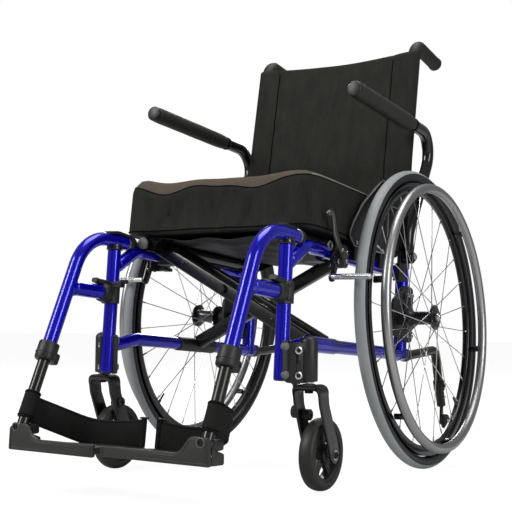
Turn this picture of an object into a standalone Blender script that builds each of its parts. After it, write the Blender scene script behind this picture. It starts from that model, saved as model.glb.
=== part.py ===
"""Folding wheelchair with swing-away legrests, flip-back arms and a scissor frame.

Units are metres, +Z is up, the chair faces -Y and its left side is +X.
The side frames lean back a few degrees about the rear axle, as the rear wheels set
them: in the code (x, v, w) are frame coordinates, v rearwards along the rails and
w up from the axle, and FRAME turns them into world coordinates.
"""
from math import atan2, cos, hypot, pi, radians, sin, tan

import bmesh
import bpy
from mathutils import Matrix, Vector

for old in list(bpy.data.objects):
    bpy.data.objects.remove(old, do_unlink=True)

# Clearances
GAP = 0.0003
LOOSE = 0.0010
PAST = 0.010

# Rear wheels
WHEEL_RADIUS = 0.302
TYRE_SECTION = 0.0125
WHEEL_TRACK = 0.528
CAMBER = radians(2.8)
RIM_DEPTH = 0.021
RIM_WIDTH = 0.022
HANDRIM_RADIUS = 0.262
HANDRIM_TUBE = 0.0095
HANDRIM_OFFSET = 0.037
TAB_COUNT = 6
HUB_HALF = 0.030
FLANGE_RADIUS = 0.0255
FLANGE_THICK = 0.005
HUB_WAIST = 0.0138
HUB_LIP = 0.004
HUB_FLARE = 0.016
SPOKE_COUNT = 28
SPOKE_RADIUS = 0.0011
SPOKE_SWEEP = radians(52)
AXLE_RADIUS = 0.0062
WHEEL_SIDES = 36

# Side frames
FRAME_TILT = radians(4.0)
FRAME_X = 0.190
TUBE_RADIUS = 0.0127
POST_RADIUS = 0.0140
FRONT_V = -0.440
FRONT_TOP_W = 0.092
FRONT_BOTTOM_W = -0.140
UPPER_RAIL_W = 0.092
LOWER_RAIL_W = -0.0735
LOWER_DROP = 0.0185
LOWER_BEND_V = -0.358
GUSSET_W = 0.042
GUSSET_V = -0.375
REAR_POST_V = 0.062
REAR_POST_TOP_W = 0.120
RAIL_END_V = 0.094
WELD_BEND = 0.050
SOCKET_DEPTH = 0.042
CRADLE_FRONT_V = -0.022
CRADLE_BACK_V = 0.002
CRADLE_REACH = 0.014
CRADLE_FOOT = 0.004
CRADLE_LIP = 0.002

# Axle plates, their corners measured from the wheel's axle
AXLE_PLATE_THICK = 0.006
AXLE_PLATE_FRONT_V = -0.024
AXLE_PLATE_BACK_V = 0.078
AXLE_PLATE_SLANT_V = 0.030
AXLE_PLATE_TOP_W = 0.070
AXLE_PLATE_BOTTOM_W = -0.050
AXLE_PLATE_NOSE = 0.036
AXLE_PLATE_CORNER = 0.012
SPARE_HOLE_RADIUS = 0.0075
SPARE_HOLE_V = 0.028
SPARE_HOLES_W = (0.026, 0.047)
AXLE_SLEEVE_RADIUS = 0.013
AXLE_SLEEVE_INSERT = 0.018
AXLE_END = 0.006
CLAMPS_W = (-0.034, 0.052)
CLAMP_HALF = 0.010
CLAMP_REACH = 0.020

# Scissor brace and seat rails
SEAT_RAIL_X = 0.168
SEAT_RAIL_W = 0.114
SEAT_RAIL_RADIUS = 0.0111
SEAT_RAIL_FRONT_V = -0.376
SEAT_RAIL_BACK_V = 0.030
ARM_DEPTH = 0.027
ARM_WIDTH = 0.018
ARM_A_V = -0.155
ARM_B_FRONT_V = -0.335
ARM_B_REAR_V = -0.265
BAR_SETBACK = 0.004
SLEEVE_WALL = 0.0045
SLEEVE_OVERHANG = 0.013
BRACE_BOLT_RADIUS = 0.005
BRACE_HEAD_RADIUS = 0.009
BRACE_HEAD_DEPTH = 0.007
BRACE_SPACER_RADIUS = 0.008
GUIDE_FRONT_V = -0.312
GUIDE_BACK_V = -0.284
GUIDE_REACH = 0.016
GUIDE_DEPTH = 0.034
GUIDE_LIP = 0.002
GUIDE_KNOB_V = -0.262
GUIDE_KNOB_DROP = 0.028
GUIDE_KNOB_RADIUS = 0.0055

# Back canes and push handles
CANE_RADIUS = 0.0111
CANE_BOTTOM_W = 0.030
CANE_BEND_W = 0.340
CANE_RECLINE = radians(7.0)
HANDLE_W = 0.6238
HANDLE_DROP = radians(5.0)
HANDLE_LENGTH = 0.124
HANDLE_BEND = 0.025
CANE_SWEEP = 0.10
GRIP_RADIUS = 0.0140
GRIP_DROP = 0.0263
GRIP_START_W = HANDLE_W - GRIP_DROP

# Armrests
ARM_X = 0.2235
ARM_TUBE_RADIUS = 0.0108
ARM_BOSS_HALF = 0.0112
ARM_PIVOT_V = 0.014
ARM_PIVOT_W = 0.128
ARM_ELBOW_V = 0.119
PAD_W = 0.406
PAD_X = 0.2345
PAD_RADIUS = 0.0152
PAD_FRONT_V = -0.2912
PAD_BACK_V = 0.005
ARM_ELBOW_RADIUS = 0.034

# Castors
CASTOR_X = 0.227
CASTOR_STEM_Y = -0.416
CASTOR_TRAIL = 0.047
CASTOR_RADIUS = 0.063
CASTOR_WIDTH = 0.028
HOUSING_RADIUS = 0.0150
HOUSING_BOTTOM = 0.190
HOUSING_TOP = 0.262
FORK_INSIDE = 0.0345
FORK_LEG = 0.0045
FORK_CROWN_Z = 0.171
FORK_CROWN_THICK = 0.010
STEM_RADIUS = 0.0060
CASTOR_SIDES = 18

# Legrests
HANGER_RADIUS = 0.0127
HANGER_W = 0.1147
HANGER_ANGLE = radians(20.0)
HANGER_BEND = 0.0725
HANGER_BACK_V = -0.394
COLLAR_W = -0.1100
COLLAR_V = -0.6052
COLLAR_HALF = 0.0165
COLLAR_RADIUS = 0.0185
EXTENSION_RADIUS = 0.0104
EXTENSION_TRAVEL = 0.050
EXTENSION_INSERT = 0.045
PIVOT_PIN_RADIUS = 0.0082
STUB_RADIUS = 0.0135
STUB_W = 0.0085
SADDLE_RADIUS = 0.0185
SADDLE_HALF = 0.019

# Footplates, in world coordinates
PLATE_PIVOT_X = 0.189
PLATE_PIVOT_Z = 0.110
PLATE_FRONT_Y = -0.684
PLATE_LIP = 0.008
PLATE_DEPTH = 0.140
PLATE_OUTER_X = 0.2050
PLATE_INNER_X = 0.0055
PLATE_BOTTOM_Z = 0.0765
PLATE_LIP_TOP_Z = 0.0935
PLATE_THICK = 0.006
PLATE_PITCH = radians(6.0)
EAR_TOP_Z = 0.1195
CASTING_HALF = 0.014
CASTING_LENGTH = 0.036
CASTING_RISE = 0.0010
CASTING_DROP = 0.0146
STRAP_WIDTH = 0.048
STRAP_THICK = 0.0035
STRAP_SLEEVE_Z = 0.1445
STRAP_POST_X = 0.0195
STRAP_POST_Y = -0.557

# Wheel locks
LOCK_V = -0.270
LOCK_PLATE_X = 0.2045
LOCK_PLATE_THICK = 0.005
LOCK_PLATE_CORNERS = [(-0.048, -0.026), (0.034, -0.016), (0.030, 0.024), (-0.012, 0.024)]
LOCK_PLATE_ROUND = 0.010
LOCK_PIN_RADIUS = 0.0035
LOCK_PIN_LENGTH = 0.0125
LEVER_PIVOT_V = -0.262
LEVER_PIVOT_W = 0.100
LEVER_LENGTH = 0.092
LEVER_ANGLE = radians(38)
SHOE_PIVOT_V = -0.296
SHOE_PIVOT_W = 0.080
SHOE_BAR_V = -0.3125
SHOE_BAR_W = 0.050
SHOE_BAR_RADIUS = 0.0055
SHOE_BAR_END_X = 0.288

# Anti-tippers
TIPPER_RADIUS = 0.0092
TIPPER_INSERT = 0.030
TIPPER_BEND_V = 0.264
TIPPER_BEND_W = -0.0535
TIPPER_LOW_V = 0.3135
TIPPER_LOW_W = -0.180
TIPPER_BEND = 0.024
TIPPER_WHEEL_V = 0.3165
TIPPER_WHEEL_W = -0.2155
TIPPER_WHEEL_RADIUS = 0.0165
TIPPER_WHEEL_WIDTH = 0.0128
TIPPER_MOUTH = 0.014
TIPPER_COLLAR_DROP = 0.086
TIPPER_COLLAR_HALF = 0.012
TIPPER_COLLAR_WALL = 0.0035
TIPPER_TAB_HALF = 0.0025
TIPPER_PIN_RADIUS = 0.003

# Soft parts
SLING_THICK = 0.0035
CUSHION_X = 0.206
CUSHION_FRONT_V = -0.390
CUSHION_BACK_V = 0.040
CUSHION_TOP_W = 0.234
CUSHION_SQUARE = 0.11
CUSHION_PULL = 0.020
CUSHION_HOLLOW = 0.010
CUSHION_BOWL = 0.012
BACK_BOTTOM_W = 0.155
BACK_HEM = 0.0015
BACK_TOP_W = GRIP_START_W - BACK_HEM
BACK_SLACK = 0.012
BACK_THICK = 0.012
SLEEVE_RADIUS = 0.0150

# Side guards
GUARD_X = 0.2078
GUARD_THICK = 0.0025
GUARD_FRONT_V = -0.262
GUARD_BACK_V = -0.062
GUARD_BOTTOM_W = 0.122
GUARD_TOP_W = 0.243

# What follows from the driving dimensions
AXLE_Z = WHEEL_RADIUS * cos(CAMBER)
TYRE_MAJOR = WHEEL_RADIUS - TYRE_SECTION
RIM_OUTER = TYRE_MAJOR - TYRE_SECTION - GAP
RIM_INNER = RIM_OUTER - RIM_DEPTH
FRAME = Matrix.Translation((0, 0, AXLE_Z)) @ Matrix.Rotation(-FRAME_TILT, 4, "X")
RISE = SEAT_RAIL_W - LOWER_RAIL_W
BRACE_ANGLE = atan2(RISE, FRAME_X + SEAT_RAIL_X)
BRACE_W = LOWER_RAIL_W + FRAME_X * tan(BRACE_ANGLE)
RAIL_GROOVE = SEAT_RAIL_RADIUS + GAP
SLING_BOTTOM_W = SEAT_RAIL_W + SEAT_RAIL_RADIUS + GAP
CUSHION_BOTTOM_W = SLING_BOTTOM_W + SLING_THICK + GAP
CASTOR_WHEEL_Y = CASTOR_STEM_Y + CASTOR_TRAIL

BLUE = ("frame_blue", (0.012, 0.008, 0.42), 0.22, 0.55)
BLACK = ("black_plastic", (0.012, 0.012, 0.012), 0.5, 0.0)
RUBBER = ("rubber", (0.02, 0.02, 0.02), 0.8, 0.0)
TYRE = ("tyre_grey", (0.38, 0.39, 0.39), 0.75, 0.0)
RIM = ("rim_black", (0.01, 0.01, 0.012), 0.35, 0.3)
SILVER = ("silver", (0.55, 0.56, 0.56), 0.3, 1.0)
DARK_TUBE = ("dark_tube", (0.03, 0.03, 0.032), 0.35, 0.6)
FABRIC = ("fabric", (0.012, 0.013, 0.012), 0.9, 0.0)
materials = {}
parts = []


def material(spec):
    """Return the Principled material of a colour, roughness and metallic value."""
    name, colour, rough, metal = spec
    if name not in materials:
        made = bpy.data.materials.new(name)
        made.use_nodes = True
        shader = made.node_tree.nodes["Principled BSDF"]
        shader.inputs["Base Color"].default_value = (*colour, 1.0)
        shader.inputs["Roughness"].default_value = rough
        shader.inputs["Metallic"].default_value = metal
        materials[name] = made
    return materials[name]


def in_frame(x, v, w):
    """World place of a point given in frame coordinates."""
    return FRAME @ Vector((x, v, w))


def solid(bm):
    """Turn a bmesh into a mesh with its faces pointing out."""
    bmesh.ops.remove_doubles(bm, verts=bm.verts, dist=1e-6)
    bmesh.ops.recalc_face_normals(bm, faces=bm.faces)
    mesh = bpy.data.meshes.new("solid")
    bm.to_mesh(mesh)
    bm.free()
    return mesh


def rounded_path(corners, radii, steps=5):
    """Polyline through the corners with each inner corner replaced by an arc."""
    points = [Vector(corners[0])]
    for before, corner, after, radius in zip(corners, corners[1:], corners[2:], radii):
        corner = Vector(corner)
        back = (Vector(before) - corner).normalized()
        ahead = (Vector(after) - corner).normalized()
        half = back.angle(ahead) / 2
        if radius == 0 or half > pi / 2 - 1e-4:
            points.append(corner)
            continue
        middle = corner + (back + ahead).normalized() * (radius / sin(half))
        start = corner + back * (radius / tan(half)) - middle
        end = corner + ahead * (radius / tan(half)) - middle
        for step in range(steps + 1):
            points.append(middle + start.slerp(end, step / steps).normalized() * radius)
    points.append(Vector(corners[-1]))
    return points


def tube(path, radius, sides=10):
    """Round bar along a path, closed by flat ends, with one ring square to each bend."""
    path = [Vector(p) for p in path]
    bm = bmesh.new()
    rings = []
    side = None
    for index, point in enumerate(path):
        before = path[max(index - 1, 0)]
        after = path[min(index + 1, len(path) - 1)]
        forward = (after - before).normalized()
        if side is None:
            helper = Vector((1, 0, 0)) if abs(forward.x) < 0.9 else Vector((0, 0, 1))
            side = forward.cross(helper).normalized()
        side = (side - forward * side.dot(forward)).normalized()
        other = forward.cross(side)
        ring = []
        for k in range(sides):
            turn = 2 * pi * (k + 0.5) / sides
            ring.append(bm.verts.new(point + (side * cos(turn) + other * sin(turn)) * radius))
        rings.append(ring)
    for low, high in zip(rings, rings[1:]):
        for k in range(sides):
            j = (k + 1) % sides
            bm.faces.new((low[k], low[j], high[j], high[k]))
    bm.faces.new(list(reversed(rings[0])))
    bm.faces.new(rings[-1])
    return solid(bm)


def running_bore(radius, sides=10):
    """Radius of a many-sided bore whose flats clear a round bar that turns in it."""
    return (radius + GAP) / cos(pi / sides)


def turned(profile, place, sides=24, phase=0.5, stretch=1.0):
    """Solid of revolution about the local X axis of place from (radius, x) points.

    A profile that starts and ends off the axis is a ring and is closed on itself.
    """
    bm = bmesh.new()
    ring_shape = profile[0][0] > 0 and profile[-1][0] > 0
    columns = []
    for k in range(sides):
        turn = 2 * pi * (k + phase) / sides
        column = []
        for radius, x in profile:
            if radius <= 0:
                column.append(None)
                continue
            reach = radius * stretch
            column.append(bm.verts.new(place @ Vector((x, -sin(turn) * reach, -cos(turn) * reach))))
        columns.append(column)
    tips = [bm.verts.new(place @ Vector((x, 0, 0))) if radius <= 0 else None for radius, x in profile]
    count = len(profile)
    spans = range(count) if ring_shape else range(count - 1)
    for k in range(sides):
        this, after = columns[k], columns[(k + 1) % sides]
        for i in spans:
            j = (i + 1) % count
            corners = [this[i] or tips[i], after[i] or tips[i], after[j] or tips[j], this[j] or tips[j]]
            unique = []
            for corner in corners:
                if corner not in unique:
                    unique.append(corner)
            if len(unique) > 2:
                bm.faces.new(unique)
    return solid(bm)


def disc_profile(radius, low, high):
    """Profile of a plain cylinder for turned()."""
    return [(0, low), (radius, low), (radius, high), (0, high)]


def block(place, size):
    """Box of the given size centred on place."""
    bm = bmesh.new()
    bmesh.ops.create_cube(bm, size=1.0, matrix=place @ Matrix.Diagonal((*size, 1.0)))
    return solid(bm)


def box_between(low, high, place=Matrix.Identity(4)):
    """Box from one corner to the other, in the coordinates of place."""
    low, high = Vector(low), Vector(high)
    return block(place @ Matrix.Translation((low + high) / 2), [abs(c) for c in high - low])


def prism(outline, to_world, near, far):
    """Plate with a closed outline of (a, b) points, from depth near to depth far."""
    bm = bmesh.new()
    first = [bm.verts.new(to_world(a, b, near)) for a, b in outline]
    second = [bm.verts.new(to_world(a, b, far)) for a, b in outline]
    bm.faces.new(first)
    bm.faces.new(list(reversed(second)))
    for k in range(len(outline)):
        j = (k + 1) % len(outline)
        bm.faces.new((first[j], first[k], second[k], second[j]))
    return solid(bm)


def rounded_outline(corners, radii, steps=4):
    """Closed outline with rounded corners, as a list of (a, b) points."""
    count = len(corners)
    points = []
    for k in range(count):
        trio = [Vector((*corners[(k + d) % count], 0)) for d in (-1, 0, 1)]
        arc = rounded_path(trio, [radii[k]], steps)[1:-1]
        points.extend((p.x, p.y) for p in arc)
    return points


def combine(base, others, operation):
    """Boolean of a mesh with others, one after another, by the exact solver."""
    for other in others:
        first = bpy.data.objects.new("first", base)
        second = bpy.data.objects.new("second", other)
        bpy.context.collection.objects.link(first)
        bpy.context.collection.objects.link(second)
        step = first.modifiers.new("step", "BOOLEAN")
        step.operation = operation
        step.object = second
        bpy.context.view_layer.update()
        graph = bpy.context.evaluated_depsgraph_get()
        base = bpy.data.meshes.new_from_object(first.evaluated_get(graph))
        bpy.data.objects.remove(first, do_unlink=True)
        bpy.data.objects.remove(second, do_unlink=True)
    return base


def fuse(base, *others):
    return combine(base, others, "UNION")


def cut(base, *others):
    return combine(base, others, "DIFFERENCE")


def add_part(name, mesh, spec, origin=(0, 0, 0), smooth=radians(40)):
    """Make the named object, its origin on the axis it turns on or where it is fixed."""
    origin = Vector(origin)
    mesh.transform(Matrix.Translation(-origin))
    mesh.name = name
    mesh.materials.clear()
    mesh.materials.append(material(spec))
    mesh.shade_smooth()
    mesh.set_sharp_from_angle(angle=smooth)
    part = bpy.data.objects.new(name, mesh)
    part.location = origin
    bpy.context.collection.objects.link(part)
    parts.append(part)
    return part


def side_place(side, x, v, w):
    """Matrix at a frame point, its X pointing outwards on either side."""
    place = FRAME @ Matrix.Translation((side * x, v, w))
    return place if side > 0 else place @ Matrix.Rotation(pi, 4, "Z")


def frame_prism(outline, side, near, far):
    """Plate square to X, its outline in (v, w), between two distances from the centre plane."""
    return prism(outline, lambda v, w, x: in_frame(side * x, v, w), near, far)


def frame_tube(side, points, radii, radius, sides=10, steps=4):
    """Tube through frame points given for the left side."""
    path = rounded_path([in_frame(side * x, v, w) for x, v, w in points], radii, steps)
    return tube(path, radius, sides)


def frame_box(side, low, high):
    """Box between two frame points given for the left side."""
    (x0, v0, w0), (x1, v1, w1) = low, high
    return box_between((side * x0, v0, w0), (side * x1, v1, w1), FRAME)


# Rear wheels
def wheel_place(side):
    """Centre of a rear wheel, X along its cambered axle, pointing outwards."""
    place = Matrix.Translation((side * WHEEL_TRACK / 2, 0, AXLE_Z))
    lean = Matrix.Rotation(-side * CAMBER, 4, "Y")
    out = Matrix.Identity(4) if side > 0 else Matrix.Rotation(pi, 4, "Z")
    return place @ lean @ out


def ring_profile(major, minor, offset, sides):
    """Round section of a ring, as (radius, x) points."""
    return [(major + minor * cos(2 * pi * k / sides), offset + minor * sin(2 * pi * k / sides))
            for k in range(sides)]


def rear_wheel(side, tag):
    place = wheel_place(side)
    centre = place.translation
    stretch = 1 / cos(pi / WHEEL_SIDES)
    tyre = turned(ring_profile(TYRE_MAJOR, TYRE_SECTION, 0, 8), place, WHEEL_SIDES, stretch=stretch)
    add_part("tyre_" + tag, tyre, TYRE, centre)
    half = RIM_WIDTH / 2
    section = [(RIM_OUTER, -half), (RIM_OUTER - 0.010, -half), (RIM_INNER, -half * 0.4),
               (RIM_INNER, half * 0.4), (RIM_OUTER - 0.010, half), (RIM_OUTER, half)]
    add_part("rim_" + tag, turned(section, place, WHEEL_SIDES), RIM, centre)
    hoop = turned(ring_profile(HANDRIM_RADIUS, HANDRIM_TUBE, HANDRIM_OFFSET, 6), place, WHEEL_SIDES)
    tabs = []
    for k in range(TAB_COUNT):
        spin = Matrix.Rotation(2 * pi * (k + 0.25) / TAB_COUNT, 4, "X")
        low = (half + GAP, -0.007, HANDRIM_RADIUS - 0.003)
        high = (HANDRIM_OFFSET - HANDRIM_TUBE * 0.5, 0.007, HANDRIM_RADIUS + 0.005)
        tabs.append(box_between(low, high, place @ spin))
    add_part("handrim_" + tag, fuse(hoop, *tabs), SILVER, centre)
    add_part("hub_and_spokes_" + tag, hub_and_spokes(place), BLACK, centre)


def hub_and_spokes(place):
    """Hub barrel with two flanges, and spokes that run off them at a slant to the rim."""
    end = HUB_HALF + HUB_LIP
    barrel = [(AXLE_RADIUS + GAP, -end), (AXLE_RADIUS + HUB_LIP, -end),
              (FLANGE_RADIUS, -HUB_HALF), (FLANGE_RADIUS, -HUB_HALF + FLANGE_THICK),
              (HUB_WAIST, -HUB_HALF + HUB_FLARE), (HUB_WAIST, HUB_HALF - HUB_FLARE),
              (FLANGE_RADIUS, HUB_HALF - FLANGE_THICK), (FLANGE_RADIUS, HUB_HALF),
              (AXLE_RADIUS + HUB_LIP, end), (AXLE_RADIUS + GAP, end)]
    hub = turned(barrel, place, 16)
    spokes = bmesh.new()
    for k in range(SPOKE_COUNT):
        rim_turn = 2 * pi * (k + 0.5) / SPOKE_COUNT
        flange = 1 if k % 2 else -1
        lead = 1 if (k // 2) % 2 else -1
        hub_turn = rim_turn + lead * SPOKE_SWEEP
        inner_x = flange * (HUB_HALF - FLANGE_THICK / 2) + lead * 0.0016
        outer_x = flange * 0.0012 + lead * 0.0016
        reach = FLANGE_RADIUS - 0.004
        tip = RIM_INNER * cos(pi / WHEEL_SIDES) - GAP
        start = place @ Vector((inner_x, sin(hub_turn) * reach, cos(hub_turn) * reach))
        end = place @ Vector((outer_x, sin(rim_turn) * tip, cos(rim_turn) * tip))
        spoke = tube([start, end], SPOKE_RADIUS, 3)
        spokes.from_mesh(spoke)
    return fuse(hub, solid(spokes))


# Castors
def castor(side, tag):
    stem = Vector((side * CASTOR_X, CASTOR_STEM_Y, 0))
    upright = Matrix.Translation(stem) @ Matrix.Rotation(-pi / 2, 4, "Y")
    centre = Vector((side * CASTOR_X, CASTOR_WHEEL_Y, CASTOR_RADIUS))
    axle = Matrix.Translation(centre)
    crown_top = FORK_CROWN_Z + FORK_CROWN_THICK
    stem_solid = turned(disc_profile(STEM_RADIUS, FORK_CROWN_Z, HOUSING_TOP - 0.012), upright, 14)
    half = FORK_INSIDE / 2
    crown = box_between((-half - FORK_LEG, -0.026, FORK_CROWN_Z), (half + FORK_LEG, 0.030, crown_top),
                        Matrix.Translation(stem))
    nut = turned(disc_profile(0.009, FORK_CROWN_Z - 0.006, FORK_CROWN_Z + 0.002), upright, 6)
    legs = []
    foot_y, foot_z = CASTOR_TRAIL, CASTOR_RADIUS
    outline = rounded_outline(
        [(-0.012, crown_top), (0.030, crown_top), (foot_y + 0.014, foot_z + 0.004),
         (foot_y + 0.004, foot_z - 0.014), (foot_y - 0.014, foot_z - 0.004)],
        [0.003, 0.006, 0.010, 0.008, 0.010], 2)
    for hand in (-1, 1):
        near, far = hand * half, hand * (half + FORK_LEG)
        legs.append(prism(outline, lambda y, z, x: stem + Vector((x, y, z)), near, far))
    pin = turned(disc_profile(0.004, -half - 0.001, half + 0.001), axle, 12)
    fork = fuse(crown, *legs, stem_solid, nut, pin)
    add_part("castor_fork_" + tag, fork, BLACK, stem + Vector((0, 0, crown_top)))

    wide = CASTOR_WIDTH / 2
    bore = 0.004 + GAP
    section = [(bore, -0.013), (0.016, -0.013), (0.019, -0.005), (0.043, -0.005), (0.047, -wide),
               (CASTOR_RADIUS - 0.003, -wide), (CASTOR_RADIUS, 0), (CASTOR_RADIUS - 0.003, wide),
               (0.047, wide), (0.043, 0.005), (0.019, 0.005), (0.016, 0.013), (bore, 0.013)]
    wheel = turned(section, axle, CASTOR_SIDES, stretch=1 / cos(pi / CASTOR_SIDES))
    add_part("castor_wheel_" + tag, wheel, RUBBER, centre)
    housing(side, tag, stem, upright)


def housing(side, tag, stem, upright):
    """Stem housing beside the front tube, on a plate that wraps the tube."""
    middle = (HOUSING_TOP + HOUSING_BOTTOM) / 2
    shell = turned([(0, HOUSING_BOTTOM), (HOUSING_RADIUS - 0.002, HOUSING_BOTTOM),
                    (HOUSING_RADIUS, HOUSING_BOTTOM + 0.003), (HOUSING_RADIUS, HOUSING_TOP - 0.003),
                    (HOUSING_RADIUS - 0.003, HOUSING_TOP), (0, HOUSING_TOP)], upright, 14)
    tube_low = in_frame(side * FRAME_X, FRONT_V, FRONT_BOTTOM_W - 0.02)
    tube_high = in_frame(side * FRAME_X, FRONT_V, FRONT_TOP_W)
    drop = (middle - tube_low.z) / (tube_high.z - tube_low.z)
    beside = tube_low.lerp(tube_high, drop)
    across = Vector((side * CASTOR_X, CASTOR_STEM_Y, middle)) - beside
    turn = atan2(across.y, across.x)
    length = across.length
    arm = (Matrix.Translation(beside) @ Matrix.Rotation(turn, 4, "Z"))
    plate = box_between((0.002, -0.0085, -0.034), (length, 0.0085, 0.034), arm)
    lean = (tube_high - tube_low).normalized()
    clamp = tube([beside - lean * 0.036, beside + lean * 0.036], TUBE_RADIUS + 0.004, 12)
    hole = tube([tube_low - lean * 0.05, tube_high], TUBE_RADIUS + GAP)
    inner_half = box_between((-0.04, -0.04, -0.06), (0.003, 0.04, 0.06), arm)
    bore = turned(disc_profile(STEM_RADIUS + GAP, HOUSING_BOTTOM - 0.01, HOUSING_TOP - 0.011), upright, 14)
    bolts = []
    for rise in (-0.021, 0.021):
        across_place = arm @ Matrix.Translation((length * 0.52, 0, rise)) @ Matrix.Rotation(pi / 2, 4, "Z")
        bolts.append(turned(disc_profile(0.0042, -0.0125, 0.0125), across_place, 6))
    rail = lower_rail(side, TUBE_RADIUS + 0.0012)
    body = cut(fuse(shell, plate, cut(clamp, inner_half), *bolts), hole, bore, rail)
    add_part("castor_housing_" + tag, body, BLACK, stem + Vector((0, 0, middle)))


# Side frames
def lower_rail(side, radius):
    """Lower rail, which leaves the front tube low and bends level."""
    points = [(FRAME_X, FRONT_V, LOWER_RAIL_W - LOWER_DROP), (FRAME_X, LOWER_BEND_V, LOWER_RAIL_W),
              (FRAME_X, RAIL_END_V, LOWER_RAIL_W)]
    return frame_tube(side, points, [WELD_BEND], radius)


def side_frame(side, tag):
    front = frame_tube(side, [(FRAME_X, FRONT_V, FRONT_BOTTOM_W), (FRAME_X, FRONT_V, FRONT_TOP_W)], [],
                       TUBE_RADIUS)
    upper = frame_tube(side, [(FRAME_X, FRONT_V, GUSSET_W), (FRAME_X, GUSSET_V, UPPER_RAIL_W),
                              (FRAME_X, REAR_POST_V, UPPER_RAIL_W)], [WELD_BEND], TUBE_RADIUS)
    post = frame_tube(side, [(FRAME_X, REAR_POST_V, LOWER_RAIL_W - TUBE_RADIUS * 0.4),
                             (FRAME_X, REAR_POST_V, REAR_POST_TOP_W)], [], POST_RADIUS)
    cradle = frame_box(side, (SEAT_RAIL_X - CRADLE_REACH, CRADLE_FRONT_V, UPPER_RAIL_W - CRADLE_FOOT),
                       (FRAME_X, CRADLE_BACK_V, SEAT_RAIL_W + CRADLE_LIP))
    body = fuse(front, lower_rail(side, TUBE_RADIUS), upper, post, cradle)
    pin_hole = frame_tube(side, [(FRAME_X, FRONT_V, FRONT_TOP_W - SOCKET_DEPTH),
                                 (FRAME_X, FRONT_V, FRONT_TOP_W + PAST)], [], running_bore(PIVOT_PIN_RADIUS))
    cane_hole = frame_tube(side, [(FRAME_X, REAR_POST_V, CANE_BOTTOM_W - GAP),
                                  (FRAME_X, REAR_POST_V, REAR_POST_TOP_W + PAST)], [], CANE_RADIUS + GAP)
    tip_hole = frame_tube(side, [(FRAME_X, RAIL_END_V - TIPPER_INSERT - GAP, LOWER_RAIL_W),
                                 (FRAME_X, RAIL_END_V + PAST, LOWER_RAIL_W)], [], TIPPER_RADIUS + GAP, 8)
    body = cut(body, pin_hole, cane_hole, tip_hole, *rail_groove(side, CRADLE_FRONT_V, CRADLE_BACK_V))
    add_part("side_frame_" + tag, body, BLUE, in_frame(side * FRAME_X, REAR_POST_V, 0))


def rail_groove(side, front_v, back_v):
    """Cutters for the groove and its open mouth that the seat rail drops into."""
    low, high = front_v - PAST, back_v + PAST
    groove = frame_tube(side, [(SEAT_RAIL_X, low, SEAT_RAIL_W), (SEAT_RAIL_X, high, SEAT_RAIL_W)], [],
                        RAIL_GROOVE)
    mouth = frame_box(side, (SEAT_RAIL_X - RAIL_GROOVE, low, SEAT_RAIL_W),
                      (SEAT_RAIL_X + RAIL_GROOVE, high, SEAT_RAIL_W + PAST))
    return groove, mouth


def upper_rail_bore(side, front_v, back_v):
    """Cutter that lets a clamp sit on the upper rail."""
    return frame_tube(side, [(FRAME_X, front_v - PAST, UPPER_RAIL_W), (FRAME_X, back_v + PAST, UPPER_RAIL_W)],
                      [], TUBE_RADIUS + GAP)


def seat_guide(side, tag):
    """Hook block on the upper rail that the seat rail drops into."""
    base = frame_box(side, (SEAT_RAIL_X - GUIDE_REACH, GUIDE_FRONT_V, SEAT_RAIL_W - GUIDE_DEPTH),
                     (FRAME_X - 0.004, GUIDE_BACK_V, SEAT_RAIL_W + GUIDE_LIP))
    knob_x, knob_w = SEAT_RAIL_X - 0.006, SEAT_RAIL_W - GUIDE_KNOB_DROP
    knob = frame_tube(side, [(knob_x, GUIDE_BACK_V - LOOSE, knob_w), (knob_x, GUIDE_KNOB_V, knob_w)], [],
                      GUIDE_KNOB_RADIUS, 12)
    body = cut(fuse(base, knob), *rail_groove(side, GUIDE_FRONT_V, GUIDE_KNOB_V),
               upper_rail_bore(side, GUIDE_FRONT_V, GUIDE_KNOB_V))
    add_part("seat_guide_" + tag, body, BLACK,
             in_frame(side * FRAME_X, (GUIDE_FRONT_V + GUIDE_BACK_V) / 2, UPPER_RAIL_W))


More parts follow.
